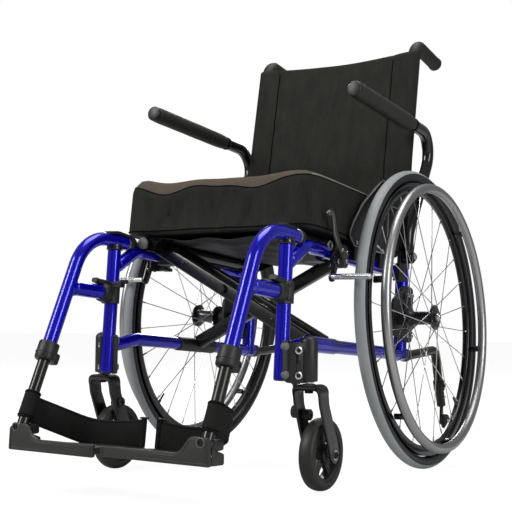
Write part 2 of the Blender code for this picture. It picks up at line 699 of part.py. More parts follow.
def axle_plate(side, tag):
    """Drilled plate clamped to the rear post, with the sleeve and axle that carry the wheel."""
    near = FRAME_X + POST_RADIUS + LOOSE
    outline = rounded_outline([(AXLE_PLATE_FRONT_V, -AXLE_PLATE_NOSE), (AXLE_PLATE_BACK_V, AXLE_PLATE_BOTTOM_W),
                               (AXLE_PLATE_BACK_V, AXLE_PLATE_TOP_W), (AXLE_PLATE_SLANT_V, AXLE_PLATE_TOP_W),
                               (AXLE_PLATE_FRONT_V, AXLE_PLATE_NOSE)], [AXLE_PLATE_CORNER] * 5, 2)
    plate = frame_prism(outline, side, near, near + AXLE_PLATE_THICK)
    holes = []
    for w in SPARE_HOLES_W:
        through = disc_profile(SPARE_HOLE_RADIUS, -PAST, AXLE_PLATE_THICK + PAST)
        holes.append(turned(through, side_place(side, near, SPARE_HOLE_V, w), 12))
    place = wheel_place(side)
    inner_end = -HUB_HALF - HUB_LIP - GAP
    sunk = near - WHEEL_TRACK / 2 - AXLE_SLEEVE_INSERT
    outer_end = HUB_HALF + AXLE_END
    stepped = [(0, sunk), (AXLE_SLEEVE_RADIUS, sunk), (AXLE_SLEEVE_RADIUS, inner_end), (AXLE_RADIUS, inner_end),
               (AXLE_RADIUS, outer_end), (0, outer_end)]
    sleeve = turned(stepped, place, 16)
    blocks = []
    for w in CLAMPS_W:
        blocks.append(frame_box(side, (FRAME_X - 0.004, REAR_POST_V - CLAMP_REACH, w - CLAMP_HALF),
                                (near + 0.003, REAR_POST_V + CLAMP_REACH - LOOSE, w + CLAMP_HALF)))
    post = frame_tube(side, [(FRAME_X, REAR_POST_V, LOWER_RAIL_W), (FRAME_X, REAR_POST_V, REAR_POST_TOP_W)], [],
                      POST_RADIUS + GAP)
    body = cut(fuse(cut(plate, *holes), sleeve, *blocks), post)
    add_part("axle_plate_" + tag, body, BLACK, in_frame(side * near, 0, 0))


# Back canes and grips
def cane_corners(side):
    """Corner points of the cane: straight up, reclined, then back along the handle."""
    low = Vector((side * FRAME_X, REAR_POST_V, CANE_BOTTOM_W))
    bend = Vector((side * FRAME_X, REAR_POST_V, CANE_BEND_W))
    rise = HANDLE_W - CANE_BEND_W
    elbow = Vector((side * FRAME_X, REAR_POST_V + rise * tan(CANE_RECLINE), HANDLE_W))
    tip = elbow + Vector((0, cos(HANDLE_DROP), -sin(HANDLE_DROP))) * HANDLE_LENGTH
    return [FRAME @ p for p in (low, bend, elbow, tip)]


def back_cane(side, tag):
    low, bend, elbow, tip = cane_corners(side)
    end = elbow.lerp(tip, 0.93)
    cane = tube(rounded_path([low, bend, elbow, end], [CANE_SWEEP, HANDLE_BEND], 4), CANE_RADIUS)
    add_part("back_cane_" + tag, cane, DARK_TUBE, low)
    start = bend.lerp(elbow, (GRIP_START_W - CANE_BEND_W) / (HANDLE_W - CANE_BEND_W))
    end_ball = elbow.lerp(tip, 1.04)
    skin = tube(rounded_path([start, elbow, tip, end_ball], [HANDLE_BEND, 0], 4), GRIP_RADIUS, 10)
    hollow = tube(rounded_path([bend.lerp(elbow, 0.70), elbow, end + (tip - elbow).normalized() * GAP],
                               [HANDLE_BEND], 4), CANE_RADIUS + GAP)
    add_part("push_grip_" + tag, cut(skin, hollow), RUBBER, start)


# Armrests
def armrest(side, tag):
    pivot = (ARM_X, ARM_PIVOT_V, ARM_PIVOT_W)
    elbow = (ARM_X + 0.006, ARM_ELBOW_V, PAD_W)
    pad_back = (PAD_X, PAD_BACK_V + 0.045, PAD_W)
    front = (PAD_X, PAD_FRONT_V + 0.014, PAD_W)
    path = [in_frame(side * x, v, w) for x, v, w in (pivot, elbow, pad_back, front)]
    rod = tube(rounded_path(path, [ARM_ELBOW_RADIUS, 0.04], 3), ARM_TUBE_RADIUS)
    boss = turned(disc_profile(0.0135, -ARM_BOSS_HALF, ARM_BOSS_HALF), side_place(side, *pivot), 14)
    bore = turned(disc_profile(0.005 + GAP, -0.02, 0.02), side_place(side, *pivot), 12)
    arm = cut(fuse(rod, boss), bore)
    origin = in_frame(side * ARM_X, ARM_PIVOT_V, ARM_PIVOT_W)
    add_part("arm_tube_" + tag, arm, DARK_TUBE, origin)

    steps = [(0.0, 0.72), (0.004, 0.92), (0.011, 1.0)]
    span = PAD_BACK_V - PAD_FRONT_V
    profile = [(0, 0)] + [(PAD_RADIUS * k, d) for d, k in steps]
    profile += [(PAD_RADIUS * k, span - d) for d, k in reversed(steps)] + [(0, span)]
    along = FRAME @ Matrix.Translation((side * PAD_X, PAD_FRONT_V, PAD_W)) @ Matrix.Rotation(pi / 2, 4, "Z")
    pad = turned(profile, along, 14)
    path[-1] += FRAME.to_3x3() @ Vector((0, -GAP, 0))
    core = tube(rounded_path(path, [ARM_ELBOW_RADIUS, 0.04], 3), ARM_TUBE_RADIUS + GAP)
    add_part("arm_pad_" + tag, cut(pad, core), RUBBER, origin)

    inner = FRAME_X + TUBE_RADIUS + GAP
    face = ARM_X - ARM_BOSS_HALF - GAP
    outline = rounded_outline([(ARM_PIVOT_V - 0.017, UPPER_RAIL_W - 0.015),
                               (ARM_PIVOT_V + 0.017, UPPER_RAIL_W - 0.015),
                               (ARM_PIVOT_V + 0.014, ARM_PIVOT_W + 0.014),
                               (ARM_PIVOT_V - 0.014, ARM_PIVOT_W + 0.014)], [0.004, 0.004, 0.012, 0.012], 3)
    cheek = frame_prism(outline, side, CUSHION_X + LOOSE, face)
    clamp = frame_box(side, (inner - 0.006, ARM_PIVOT_V - 0.016, UPPER_RAIL_W - 0.014),
                      (face - 0.001, ARM_PIVOT_V + 0.016, UPPER_RAIL_W + 0.018))
    rail = upper_rail_bore(side, ARM_PIVOT_V - 0.016, ARM_PIVOT_V + 0.016)
    stop = ARM_BOSS_HALF + LOOSE
    stepped = [(0, -ARM_BOSS_HALF - 0.002), (0.005, -ARM_BOSS_HALF - 0.002), (0.005, stop), (0.009, stop),
               (0.009, stop + 0.003), (0, stop + 0.003)]
    pin = turned(stepped, side_place(side, *pivot), 12)
    add_part("arm_bracket_" + tag, fuse(cut(fuse(cheek, clamp), rail), pin), BLACK, origin)


def side_guard(side, tag):
    """Thin skirt guard with rounded corners on two feet that stand off the upper rail."""
    outline = rounded_outline([(GUARD_FRONT_V + 0.030, GUARD_BOTTOM_W), (GUARD_BACK_V, GUARD_BOTTOM_W),
                               (GUARD_BACK_V - 0.004, GUARD_TOP_W - 0.014), (GUARD_FRONT_V, GUARD_TOP_W)],
                              [0.020, 0.010, 0.030, 0.030], 4)
    panel = frame_prism(outline, side, GUARD_X, GUARD_X + GUARD_THICK)
    feet = []
    for v in (-0.205, -0.085):
        feet.append(frame_box(side, (FRAME_X + TUBE_RADIUS + GAP, v - 0.009, UPPER_RAIL_W - 0.008),
                              (GUARD_X + GUARD_THICK, v + 0.009, GUARD_BOTTOM_W + 0.012)))
    add_part("side_guard_" + tag, fuse(panel, *feet), BLACK,
             in_frame(side * GUARD_X, GUARD_BACK_V, GUARD_BOTTOM_W))


# Wheel locks
def wheel_lock(side, tag):
    near = LOCK_PLATE_X
    far = near + LOCK_PLATE_THICK
    outline = rounded_outline([(LOCK_V + v, UPPER_RAIL_W + w) for v, w in LOCK_PLATE_CORNERS],
                              [LOCK_PLATE_ROUND] * 4, 2)
    plate = frame_prism(outline, side, near, far)
    clamp = frame_box(side, (FRAME_X - 0.008, LOCK_V - 0.013, UPPER_RAIL_W - 0.019),
                      (near + 0.002, LOCK_V + 0.019, UPPER_RAIL_W + 0.019))
    rail = upper_rail_bore(side, LOCK_V - 0.013, LOCK_V + 0.019)
    seat = frame_box(side, (FRAME_X - 4 * PAST, LOCK_V - 4 * PAST, UPPER_RAIL_W - 4 * PAST),
                     (FRAME_X - LOOSE, LOCK_V + 4 * PAST, UPPER_RAIL_W + 4 * PAST))
    pins = [turned(disc_profile(LOCK_PIN_RADIUS, 0, LOCK_PIN_LENGTH), side_place(side, far - LOOSE, v, w), 10)
            for v, w in ((LEVER_PIVOT_V, LEVER_PIVOT_W), (SHOE_PIVOT_V, SHOE_PIVOT_W))]
    body = cut(fuse(plate, clamp), rail, seat)
    add_part("lock_body_" + tag, fuse(body, *pins), BLACK, in_frame(side * near, LOCK_V, UPPER_RAIL_W))

    layer = far + GAP
    reach = [(LEVER_PIVOT_V - sin(LEVER_ANGLE) * d, LEVER_PIVOT_W + cos(LEVER_ANGLE) * d)
             for d in (0, LEVER_LENGTH)]
    arm = frame_tube(side, [(layer + 0.0055, *reach[0]), (layer + 0.0085, *reach[1])], [], 0.0052, 8)
    boss = turned(disc_profile(0.010, 0, 0.008), side_place(side, layer, LEVER_PIVOT_V, LEVER_PIVOT_W), 14)
    grip_start = [reach[0][i] + (reach[1][i] - reach[0][i]) * 0.55 for i in (0, 1)]
    grip = frame_tube(side, [(layer + 0.0085, *grip_start), (layer + 0.0085, *reach[1])], [], 0.0080, 12)
    bore = turned(disc_profile(LOCK_PIN_RADIUS + GAP, -PAST, 2 * PAST),
                  side_place(side, layer, LEVER_PIVOT_V, LEVER_PIVOT_W), 10)
    add_part("lock_lever_" + tag, cut(fuse(boss, arm, grip), bore), BLACK,
             in_frame(side * layer, LEVER_PIVOT_V, LEVER_PIVOT_W))

    link = rounded_outline([(SHOE_PIVOT_V - 0.008, SHOE_PIVOT_W + 0.008),
                            (SHOE_PIVOT_V + 0.008, SHOE_PIVOT_W + 0.008),
                            (SHOE_BAR_V + 0.008, SHOE_BAR_W - 0.008),
                            (SHOE_BAR_V - 0.008, SHOE_BAR_W - 0.008)], [0.0075] * 4, 2)
    arm = frame_prism(link, side, layer, layer + 0.006)
    bar = frame_tube(side, [(layer + 0.001, SHOE_BAR_V, SHOE_BAR_W), (SHOE_BAR_END_X, SHOE_BAR_V, SHOE_BAR_W)],
                     [], SHOE_BAR_RADIUS, 12)
    bore = turned(disc_profile(LOCK_PIN_RADIUS + GAP, -PAST, 2 * PAST),
                  side_place(side, layer, SHOE_PIVOT_V, SHOE_PIVOT_W), 10)
    add_part("lock_shoe_" + tag, cut(fuse(arm, bar), bore), SILVER,
             in_frame(side * layer, SHOE_PIVOT_V, SHOE_PIVOT_W))


# Legrests
def hanger_line(distance):
    """Point on the slanted part of the hanger, a distance down from the collar's middle."""
    return (FRAME_X, COLLAR_V - sin(HANGER_ANGLE) * distance, COLLAR_W - cos(HANGER_ANGLE) * distance)


def legrest(side, tag):
    swing = in_frame(side * FRAME_X, FRONT_V, FRONT_TOP_W)
    rise = (HANGER_W - COLLAR_W) / cos(HANGER_ANGLE)
    elbow = hanger_line(-rise)
    low_end = hanger_line(COLLAR_HALF * 0.6)
    hanger = frame_tube(side, [low_end, elbow, (FRAME_X, HANGER_BACK_V, HANGER_W)], [HANGER_BEND],
                        HANGER_RADIUS, 10, 5)
    pin = frame_tube(side, [(FRAME_X, FRONT_V, FRONT_TOP_W - 0.040), (FRAME_X, FRONT_V, HANGER_W)], [],
                     PIVOT_PIN_RADIUS)
    bush = frame_tube(side, [(FRAME_X, FRONT_V, FRONT_TOP_W + GAP), (FRAME_X, FRONT_V, HANGER_W)], [],
                      PIVOT_PIN_RADIUS + 0.0025)
    slant = (STUB_W - COLLAR_W) / cos(HANGER_ANGLE)
    stub_start = hanger_line(-slant)
    saddle_reach = FRONT_V - TUBE_RADIUS - 0.006
    stub = frame_tube(side, [stub_start, (FRAME_X, saddle_reach, STUB_W)], [], STUB_RADIUS)
    bore = frame_tube(side, [hanger_line(0.06), hanger_line(-EXTENSION_INSERT - EXTENSION_TRAVEL - 0.012)],
                      [], EXTENSION_RADIUS + GAP)
    body = cut(fuse(hanger, pin, bush, stub), bore)
    add_part("hanger_" + tag, body, BLUE, swing)

    collar = frame_tube(side, [hanger_line(COLLAR_HALF), hanger_line(-COLLAR_HALF)], [], COLLAR_RADIUS, 16)
    lower = frame_tube(side, [hanger_line(0.04), hanger_line(-0.01)], [], EXTENSION_RADIUS + GAP)
    seat = frame_tube(side, [hanger_line(COLLAR_HALF * 0.6 + GAP), hanger_line(-0.04)], [],
                      HANGER_RADIUS + GAP, 10)
    lug = frame_box(side, (FRAME_X + COLLAR_RADIUS - 0.006, COLLAR_V - 0.009, COLLAR_W - 0.009),
                    (FRAME_X + COLLAR_RADIUS + 0.006, COLLAR_V + 0.009, COLLAR_W + 0.009))
    add_part("height_collar_" + tag, cut(fuse(collar, lug), seat, lower), BLACK,
             in_frame(side * FRAME_X, COLLAR_V, COLLAR_W))
    hanger_latch(side, tag, swing)
    footrest(side, tag)


def hanger_latch(side, tag, swing):
    """Saddle on the end of the hanger's stub that grips the front tube, with its release paddle."""
    low, high = STUB_W - SADDLE_HALF, STUB_W + SADDLE_HALF
    ring = frame_tube(side, [(FRAME_X, FRONT_V, low), (FRAME_X, FRONT_V, high)], [], SADDLE_RADIUS, 16)
    cup = frame_tube(side, [(FRAME_X, FRONT_V - TUBE_RADIUS - 0.006 + GAP, STUB_W),
                            (FRAME_X, FRONT_V, STUB_W)], [], STUB_RADIUS + 0.0015)
    paddle = frame_box(side, (FRAME_X - 0.034, FRONT_V - 0.016, high - 0.008),
                       (FRAME_X - 0.004, FRONT_V - 0.004, high + 0.001))
    tube_hole = frame_tube(side, [(FRAME_X, FRONT_V, low - 0.02), (FRAME_X, FRONT_V, high + 0.02)], [],
                           running_bore(TUBE_RADIUS))
    open_side = frame_box(side, (FRAME_X - 0.03, FRONT_V + 0.002, low - 0.01),
                          (FRAME_X + 0.03, FRONT_V + 0.04, high + 0.01))
    body = cut(fuse(ring, cup, paddle), tube_hole, open_side)
    add_part("hanger_latch_" + tag, body, BLACK, swing)


def footrest(side, tag):
    """Extension tube with the hinge block that carries the footplate."""
    pivot = Vector((side * PLATE_PIVOT_X, PLATE_FRONT_Y + PLATE_LIP + GAP, PLATE_PIVOT_Z))
    line_low = in_frame(side * FRAME_X, *hanger_line(0.02)[1:])
    line_high = in_frame(side * FRAME_X, *hanger_line(-EXTENSION_INSERT)[1:])
    along = (line_high - line_low).normalized()
    foot = line_low + along * ((PLATE_PIVOT_Z - 0.004 - line_low.z) / along.z)
    rod = tube([foot, line_high], EXTENSION_RADIUS)
    casting = box_between((side * (PLATE_PIVOT_X - CASTING_HALF), pivot.y, PLATE_PIVOT_Z - CASTING_DROP),
                          (side * (PLATE_PIVOT_X + CASTING_HALF), pivot.y + CASTING_LENGTH,
                           PLATE_PIVOT_Z + CASTING_RISE))
    bolt = turned(disc_profile(0.004, -0.002, PLATE_LIP + GAP + 0.001),
                  Matrix.Translation(pivot) @ Matrix.Rotation(-pi / 2, 4, "Z"), 12)
    trim = box_between((side * 0.1, pivot.y - 0.05, 0), (side * 0.3, pivot.y, 0.3))
    body = fuse(cut(fuse(casting, rod), trim), bolt)
    add_part("footrest_tube_" + tag, body, DARK_TUBE, line_high)
    footplate(side, tag)
    heel_loop(side, tag, foot, along)


def footplate(side, tag):
    """Moulded plate: a front lip that swells up into the hinge ear, and a ribbed deck."""
    inner, outer = PLATE_INNER_X, PLATE_OUTER_X
    ear_in = PLATE_PIVOT_X - 0.029
    corners = [(outer, PLATE_BOTTOM_Z), (outer, EAR_TOP_Z), (ear_in + 0.008, EAR_TOP_Z),
               (ear_in - 0.010, PLATE_LIP_TOP_Z), (inner, PLATE_LIP_TOP_Z), (inner, PLATE_BOTTOM_Z)]
    outline = rounded_outline(corners, [0.003, 0.006, 0.012, 0.014, 0.002, 0.003], 3)
    y0, y1 = PLATE_FRONT_Y, PLATE_FRONT_Y + PLATE_LIP
    lip = prism(outline, lambda x, z, y: Vector((side * x, y, z)), y0, y1)
    deck_place = (Matrix.Translation((0, y1 - 0.004, PLATE_LIP_TOP_Z - 0.004))
                  @ Matrix.Rotation(-PLATE_PITCH, 4, "X"))
    deck_outer = PLATE_OUTER_X - 0.004
    deck_outline = rounded_outline([(inner, 0), (deck_outer, 0), (deck_outer, 0.034),
                                    (deck_outer - 0.040, 0.060), (deck_outer - 0.095, PLATE_DEPTH),
                                    (inner, PLATE_DEPTH)], [0.001, 0.001, 0.006, 0.012, 0.012, 0.006], 2)
    deck = prism(deck_outline, lambda x, y, z: deck_place @ Vector((side * x, y, z)), -PLATE_THICK, 0)
    ribs = []
    for k in range(3):
        x = inner + 0.024 + k * 0.052
        back = PLATE_DEPTH - 0.020 if k < 2 else 0.060
        ribs.append(box_between((side * (x - 0.0015), 0.001, -PLATE_THICK - 0.005),
                                (side * (x + 0.0015), back, -0.002), deck_place))
    notch = box_between((side * (PLATE_PIVOT_X - CASTING_HALF - LOOSE), y1, PLATE_PIVOT_Z - CASTING_DROP - LOOSE),
                        (side * (PLATE_PIVOT_X + CASTING_HALF + LOOSE), y1 + CASTING_LENGTH + 4 * LOOSE, 0.2))
    bolt = turned(disc_profile(0.004 + GAP, -0.01, PLATE_LIP + 0.01),
                  Matrix.Translation((side * PLATE_PIVOT_X, y1, PLATE_PIVOT_Z))
                  @ Matrix.Rotation(-pi / 2, 4, "Z"), 12)
    body = cut(fuse(lip, deck, *ribs), notch, bolt)
    add_part("footplate_" + tag, body, BLACK, (side * PLATE_PIVOT_X, y1, PLATE_PIVOT_Z))


def heel_loop(side, tag, foot, along):
    """Webbing loop: a sleeve round the extension tube, and a band led back and in to a post."""
    start = foot + along * ((STRAP_SLEEVE_Z - foot.z) / along.z)
    sleeve = tube([start - along * STRAP_WIDTH / 2, start + along * STRAP_WIDTH / 2],
                  EXTENSION_RADIUS + STRAP_THICK)
    hole = tube([start - along * 0.06, start + along * 0.06], EXTENSION_RADIUS + GAP)
    deck_drop = (STRAP_POST_Y - PLATE_FRONT_Y - PLATE_LIP) * tan(PLATE_PITCH)
    post_z = PLATE_LIP_TOP_Z - 0.004 - deck_drop + STRAP_WIDTH / 2 + GAP * 2
    end = Vector((side * STRAP_POST_X, STRAP_POST_Y, post_z))
    rear = along.cross(Vector((1, 0, 0)))
    rear *= 1 if rear.y > 0 else -1
    leave = start + Vector((side * (EXTENSION_RADIUS + STRAP_THICK * 0.5), 0, 0))
    turn = leave + rear * 0.048
    turn_in = Vector((side * 0.150, STRAP_POST_Y - 0.012, post_z + 0.006))
    band = rounded_path([leave, turn, turn_in, end], [0.030, 0.080], 4)
    bm = bmesh.new()
    rows = []
    for k, place in enumerate(band):
        t = k / (len(band) - 1)
        up = along.lerp(Vector((0, 0, 1)), min(1.0, 1.6 * t)).normalized()
        across = (band[min(k + 1, len(band) - 1)] - band[max(k - 1, 0)]).normalized()
        out = across.cross(up).normalized()
        half_up = up * STRAP_WIDTH / 2
        half_out = out * STRAP_THICK / 2
        rows.append([bm.verts.new(place + a + b) for a, b in
                     ((half_up, half_out), (half_up, -half_out), (-half_up, -half_out), (-half_up, half_out))])
    for low, high in zip(rows, rows[1:]):
        stitch(bm, low, high)
    bm.faces.new(rows[0])
    bm.faces.new(list(reversed(rows[-1])))
    post = tube([end - Vector((0, 0, STRAP_WIDTH / 2)), end + Vector((0, 0, STRAP_WIDTH / 2))], 0.0045, 8)
    add_part("heel_loop_" + tag, cut(fuse(sleeve, solid(bm), post), hole), FABRIC, start)


# Anti-tippers
def anti_tipper(side, tag):
    """Bent tube in the end of the lower rail, with a small wheel on the outside of its tab."""
    start = (FRAME_X, RAIL_END_V - TIPPER_INSERT, LOWER_RAIL_W)
    mouth = (FRAME_X, RAIL_END_V + TIPPER_MOUTH, LOWER_RAIL_W)
    knee = (FRAME_X, TIPPER_BEND_V, TIPPER_BEND_W)
    low = (FRAME_X, TIPPER_LOW_V, TIPPER_LOW_W)
    rod = frame_tube(side, [start, mouth, knee, low], [0.04, TIPPER_BEND], TIPPER_RADIUS, 8, 3)
    down = (Vector(low) - Vector(knee)).normalized()
    middle = Vector(knee) + down * TIPPER_COLLAR_DROP
    reach = down * TIPPER_COLLAR_HALF
    collar = frame_tube(side, [middle - reach, middle + reach], [], TIPPER_RADIUS + TIPPER_COLLAR_WALL, 8)
    v, w = TIPPER_WHEEL_V, TIPPER_WHEEL_W
    top = TIPPER_LOW_W + 0.006
    outline = rounded_outline([(TIPPER_LOW_V - 0.004, top), (TIPPER_LOW_V + 0.007, top),
                               (v + 0.009, w - 0.008), (v - 0.008, w - 0.008)], [0.002, 0.002, 0.007, 0.007], 3)
    tab = frame_prism(outline, side, FRAME_X - TIPPER_TAB_HALF, FRAME_X + TIPPER_TAB_HALF)
    place = side_place(side, FRAME_X, v, w)
    near = TIPPER_TAB_HALF + 0.0004
    pin_end = near + TIPPER_WHEEL_WIDTH + 0.0006
    pin = turned(disc_profile(TIPPER_PIN_RADIUS, -LOOSE, pin_end + 0.0017), place, 8)
    head = turned(disc_profile(TIPPER_PIN_RADIUS + TIPPER_TAB_HALF, pin_end, pin_end + 0.0027), place, 8)
    add_part("anti_tip_tube_" + tag, fuse(rod, collar, tab, pin, head), DARK_TUBE,
             in_frame(side * FRAME_X, RAIL_END_V, LOWER_RAIL_W))
    wide, radius = TIPPER_WHEEL_WIDTH, TIPPER_WHEEL_RADIUS
    bore, round_off = TIPPER_PIN_RADIUS + GAP, 0.002
    roll = [(bore, near), (radius - round_off, near), (radius, near + round_off),
            (radius, near + wide - round_off), (radius - round_off, near + wide), (bore, near + wide)]
    add_part("anti_tip_wheel_" + tag, turned(roll, place, 20), RUBBER, in_frame(side * FRAME_X, v, w))


# Scissor brace
def brace_bar(hand, v):
    """Box tube from the lower pivot on one side up to the seat rail on the other.

    hand is the side of the seat rail. The bar ends inside the rail and the sleeve.
    """
    low = Vector((-hand * FRAME_X, v, LOWER_RAIL_W))
    high = Vector((hand * SEAT_RAIL_X, v, SEAT_RAIL_W))
    middle = (low + high) / 2
    short = TUBE_RADIUS + 0.002
    length = (high - low).length - short - BAR_SETBACK
    slide = (high - low).normalized() * (short - BAR_SETBACK) / 2
    turn = atan2(high.z - low.z, high.x - low.x)
    place = FRAME @ Matrix.Translation(middle + slide) @ Matrix.Rotation(-turn, 4, "Y")
    return block(place, (length, ARM_WIDTH, ARM_DEPTH))


def cross_arm(hand, name, stations):
    """One scissor arm: seat rail, its bars, and the sleeve that turns on the lower rail."""
    rail = frame_tube(hand, [(SEAT_RAIL_X, SEAT_RAIL_FRONT_V, SEAT_RAIL_W),
                             (SEAT_RAIL_X, SEAT_RAIL_BACK_V, SEAT_RAIL_W)], [], SEAT_RAIL_RADIUS)
    bars = [brace_bar(hand, v) for v in stations]
    low_v = min(stations) - SLEEVE_OVERHANG - ARM_WIDTH / 2
    high_v = max(stations) + SLEEVE_OVERHANG + ARM_WIDTH / 2
    low_v = max(low_v, LOWER_BEND_V + 0.006)
    sleeve = frame_tube(-hand, [(FRAME_X, low_v, LOWER_RAIL_W), (FRAME_X, high_v, LOWER_RAIL_W)], [],
                        TUBE_RADIUS + SLEEVE_WALL, 14)
    bolt = frame_tube(1, [(0, min(stations) - 0.05, BRACE_W), (0, max(stations) + 0.05, BRACE_W)], [],
                      BRACE_BOLT_RADIUS + GAP, 10)
    body = cut(fuse(rail, *bars, sleeve), lower_rail(-hand, running_bore(TUBE_RADIUS)), bolt)
    add_part(name, body, BLACK, in_frame(-hand * FRAME_X, ARM_A_V, LOWER_RAIL_W))


def brace_bolt():
    """Bolt through all the bars, with a head at each end and a spacer between the arms."""
    first = ARM_B_FRONT_V - ARM_WIDTH / 2
    last = ARM_A_V + ARM_WIDTH / 2
    shank = frame_tube(1, [(0, first - 0.004, BRACE_W), (0, last + 0.004, BRACE_W)], [], BRACE_BOLT_RADIUS, 10)
    heads = [frame_tube(1, [(0, a, BRACE_W), (0, b, BRACE_W)], [], BRACE_HEAD_RADIUS, 12)
             for a, b in ((first - BRACE_HEAD_DEPTH, first - GAP), (last + GAP, last + BRACE_HEAD_DEPTH))]
    spacer = frame_tube(1, [(0, ARM_B_REAR_V + ARM_WIDTH / 2 + GAP, BRACE_W),
                            (0, ARM_A_V - ARM_WIDTH / 2 - GAP, BRACE_W)], [], BRACE_SPACER_RADIUS, 12)
    add_part("brace_bolt", fuse(shank, *heads, spacer), SILVER, in_frame(0, ARM_A_V, BRACE_W))


# Soft parts
def seat_sling():
    """Taut cloth over both seat rails, sagging a little between them."""
    low = SLING_BOTTOM_W
    reach = SEAT_RAIL_X + SEAT_RAIL_RADIUS - 0.004
    columns = 9
    outline = []
    for k in range(columns):
        t = 2 * k / (columns - 1) - 1
        outline.append((reach * t, low + SLING_THICK - 0.0012 * (1 - t * t)))
    for k in reversed(range(columns)):
        t = 2 * k / (columns - 1) - 1
        outline.append((reach * t, low - 0.0008 * (1 - t * t)))
    cloth = prism(outline, lambda x, w, v: in_frame(x, v, w), SEAT_RAIL_FRONT_V + 0.006, SEAT_RAIL_BACK_V)
    add_part("seat_sling", cloth, FABRIC, in_frame(0, 0, low))


def cushion():
    """Contoured cushion: crowned top, drawn-in sides, round edges and two leg channels.

    The surface is a superellipsoid in plan and section, (u, t) on a sphere grid: the side
    bulge is greatest at the corners' height and the top sinks along each thigh.
    """
    half_x, half_v = CUSHION_X, (CUSHION_BACK_V - CUSHION_FRONT_V) / 2
    mid_v = (CUSHION_BACK_V + CUSHION_FRONT_V) / 2
    height = CUSHION_TOP_W - CUSHION_BOTTOM_W
    around, layers = 28, 8
    bm = bmesh.new()

    def power(value, exponent):
        return abs(value) ** exponent * (1 if value >= 0 else -1)

    rings = []
    for i in range(layers + 1):
        rise = -pi / 2 + pi * i / layers
        flat = power(cos(rise), 0.09) if 0 < i < layers else 0.0
        level = power(sin(rise), 0.55)
        ring = []
        for k in range(around if 0 < i < layers else 0):
            turn = 2 * pi * k / around
            x = power(cos(turn), CUSHION_SQUARE) * flat
            v = power(sin(turn), CUSHION_SQUARE) * flat
            pull = 1 - CUSHION_PULL * (1 - x * x) * (1 - abs(level)) * abs(v) ** 6
            pull_x = 1 - CUSHION_PULL * (1 - v * v) * (1 - abs(level)) * abs(x) ** 6
            ring.append(cushion_point(bm, x * pull_x, v * pull, level, half_x, half_v, mid_v, height))
        rings.append(ring)
    inner_rings = {}
    for end in (0, layers):
        level = -1.0 if end == 0 else 1.0
        nested = []
        for scale in (0.82, 0.6, 0.38, 0.18):
            ring = []
            for k in range(around):
                turn = 2 * pi * k / around
                x = power(cos(turn), CUSHION_SQUARE + 0.5 * (1 - scale)) * scale
                v = power(sin(turn), CUSHION_SQUARE + 0.5 * (1 - scale)) * scale
                ring.append(cushion_point(bm, x, v, level, half_x, half_v, mid_v, height))
            nested.append(ring)
        centre = cushion_point(bm, 0, 0, level, half_x, half_v, mid_v, height)
        inner_rings[end] = (nested, centre)
    for low, high in zip(rings[1:-1], rings[2:-1]):
        stitch(bm, low, high)
    for end, edge in ((0, rings[1]), (layers, rings[-2])):
        nested, centre = inner_rings[end]
        stitch(bm, edge, nested[0])
        for a, b in zip(nested, nested[1:]):
            stitch(bm, a, b)
        for k in range(around):
            bm.faces.new((nested[-1][k], nested[-1][(k + 1) % around], centre))
    add_part("cushion", solid(bm), FABRIC, in_frame(0, mid_v, CUSHION_BOTTOM_W), radians(60))


def cushion_point(bm, x, v, level, half_x, half_v, mid_v, height):
    """One vertex: level runs from -1 at the flat underside to 1 at the crowned top."""
    w = CUSHION_BOTTOM_W + height * (level + 1) / 2
    if level > 0:
        hollow = CUSHION_HOLLOW * (1 - (abs(x) - 0.45) ** 2 * 3) * (1 - v) * 0.5
        bowl = CUSHION_BOWL * max(0.0, 1 - x * x) * max(0.0, (v + 1) / 2)
        w -= level * (max(0.0, hollow) + bowl) * (1 - max(abs(x), abs(v)) ** 8)
    return bm.verts.new(in_frame(x * half_x, mid_v + v * half_v, w))


def stitch(bm, low, high):
    """Quads between two rings of as many points."""
    for k in range(len(low)):
        j = (k + 1) % len(low)
        bm.faces.new((low[k], low[j], high[j], high[k]))


def back_upholstery():
    """Back sheet with a sleeve round each cane; the sheet hangs a little slack."""
    low = BACK_BOTTOM_W
    levels = [low, CANE_BEND_W, (CANE_BEND_W + BACK_TOP_W) / 2, BACK_TOP_W]
    columns = 7
    reach = FRAME_X - CANE_RADIUS * 0.5
    bm = bmesh.new()
    rows = []
    for w in levels:
        w = min(max(w, low + 0.003), BACK_TOP_W - 0.004)
        lean = REAR_POST_V + max(0.0, w - CANE_BEND_W) * tan(CANE_RECLINE)
        front, back = [], []
        for k in range(columns):
            t = 2 * k / (columns - 1) - 1
            slack = BACK_SLACK * (1 - t * t) * (0.4 + 0.6 * (w - low) / (BACK_TOP_W - low))
            v = lean - SLEEVE_RADIUS * 0.55 + slack
            front.append(bm.verts.new(in_frame(reach * t, v, w)))
            back.append(bm.verts.new(in_frame(reach * t, v + BACK_THICK, w)))
        rows.append(front + list(reversed(back)))
    for lower, upper in zip(rows, rows[1:]):
        stitch(bm, lower, upper)
    bm.faces.new(rows[0])
    bm.faces.new(list(reversed(rows[-1])))
    sheet = solid(bm)
    sleeves, holes = [], []
    for side in (-1, 1):
        low_end, bend, elbow, _ = cane_corners(side)
        lean_low = bend + (low_end - bend) * ((CANE_BEND_W - low) / (CANE_BEND_W - CANE_BOTTOM_W))
        top = bend.lerp(elbow, (BACK_TOP_W - CANE_BEND_W) / (HANDLE_W - CANE_BEND_W))
        path = rounded_path([lean_low, bend, top], [CANE_SWEEP], 3)
        sleeves.append(tube(path, SLEEVE_RADIUS))
        past_top = bend.lerp(elbow, 0.995)
        holes.append(tube(rounded_path([low_end, bend, past_top], [CANE_SWEEP], 3), CANE_RADIUS + GAP))
    add_part("back_upholstery", cut(fuse(sheet, *sleeves), *holes), FABRIC,
             in_frame(-FRAME_X, REAR_POST_V, low))


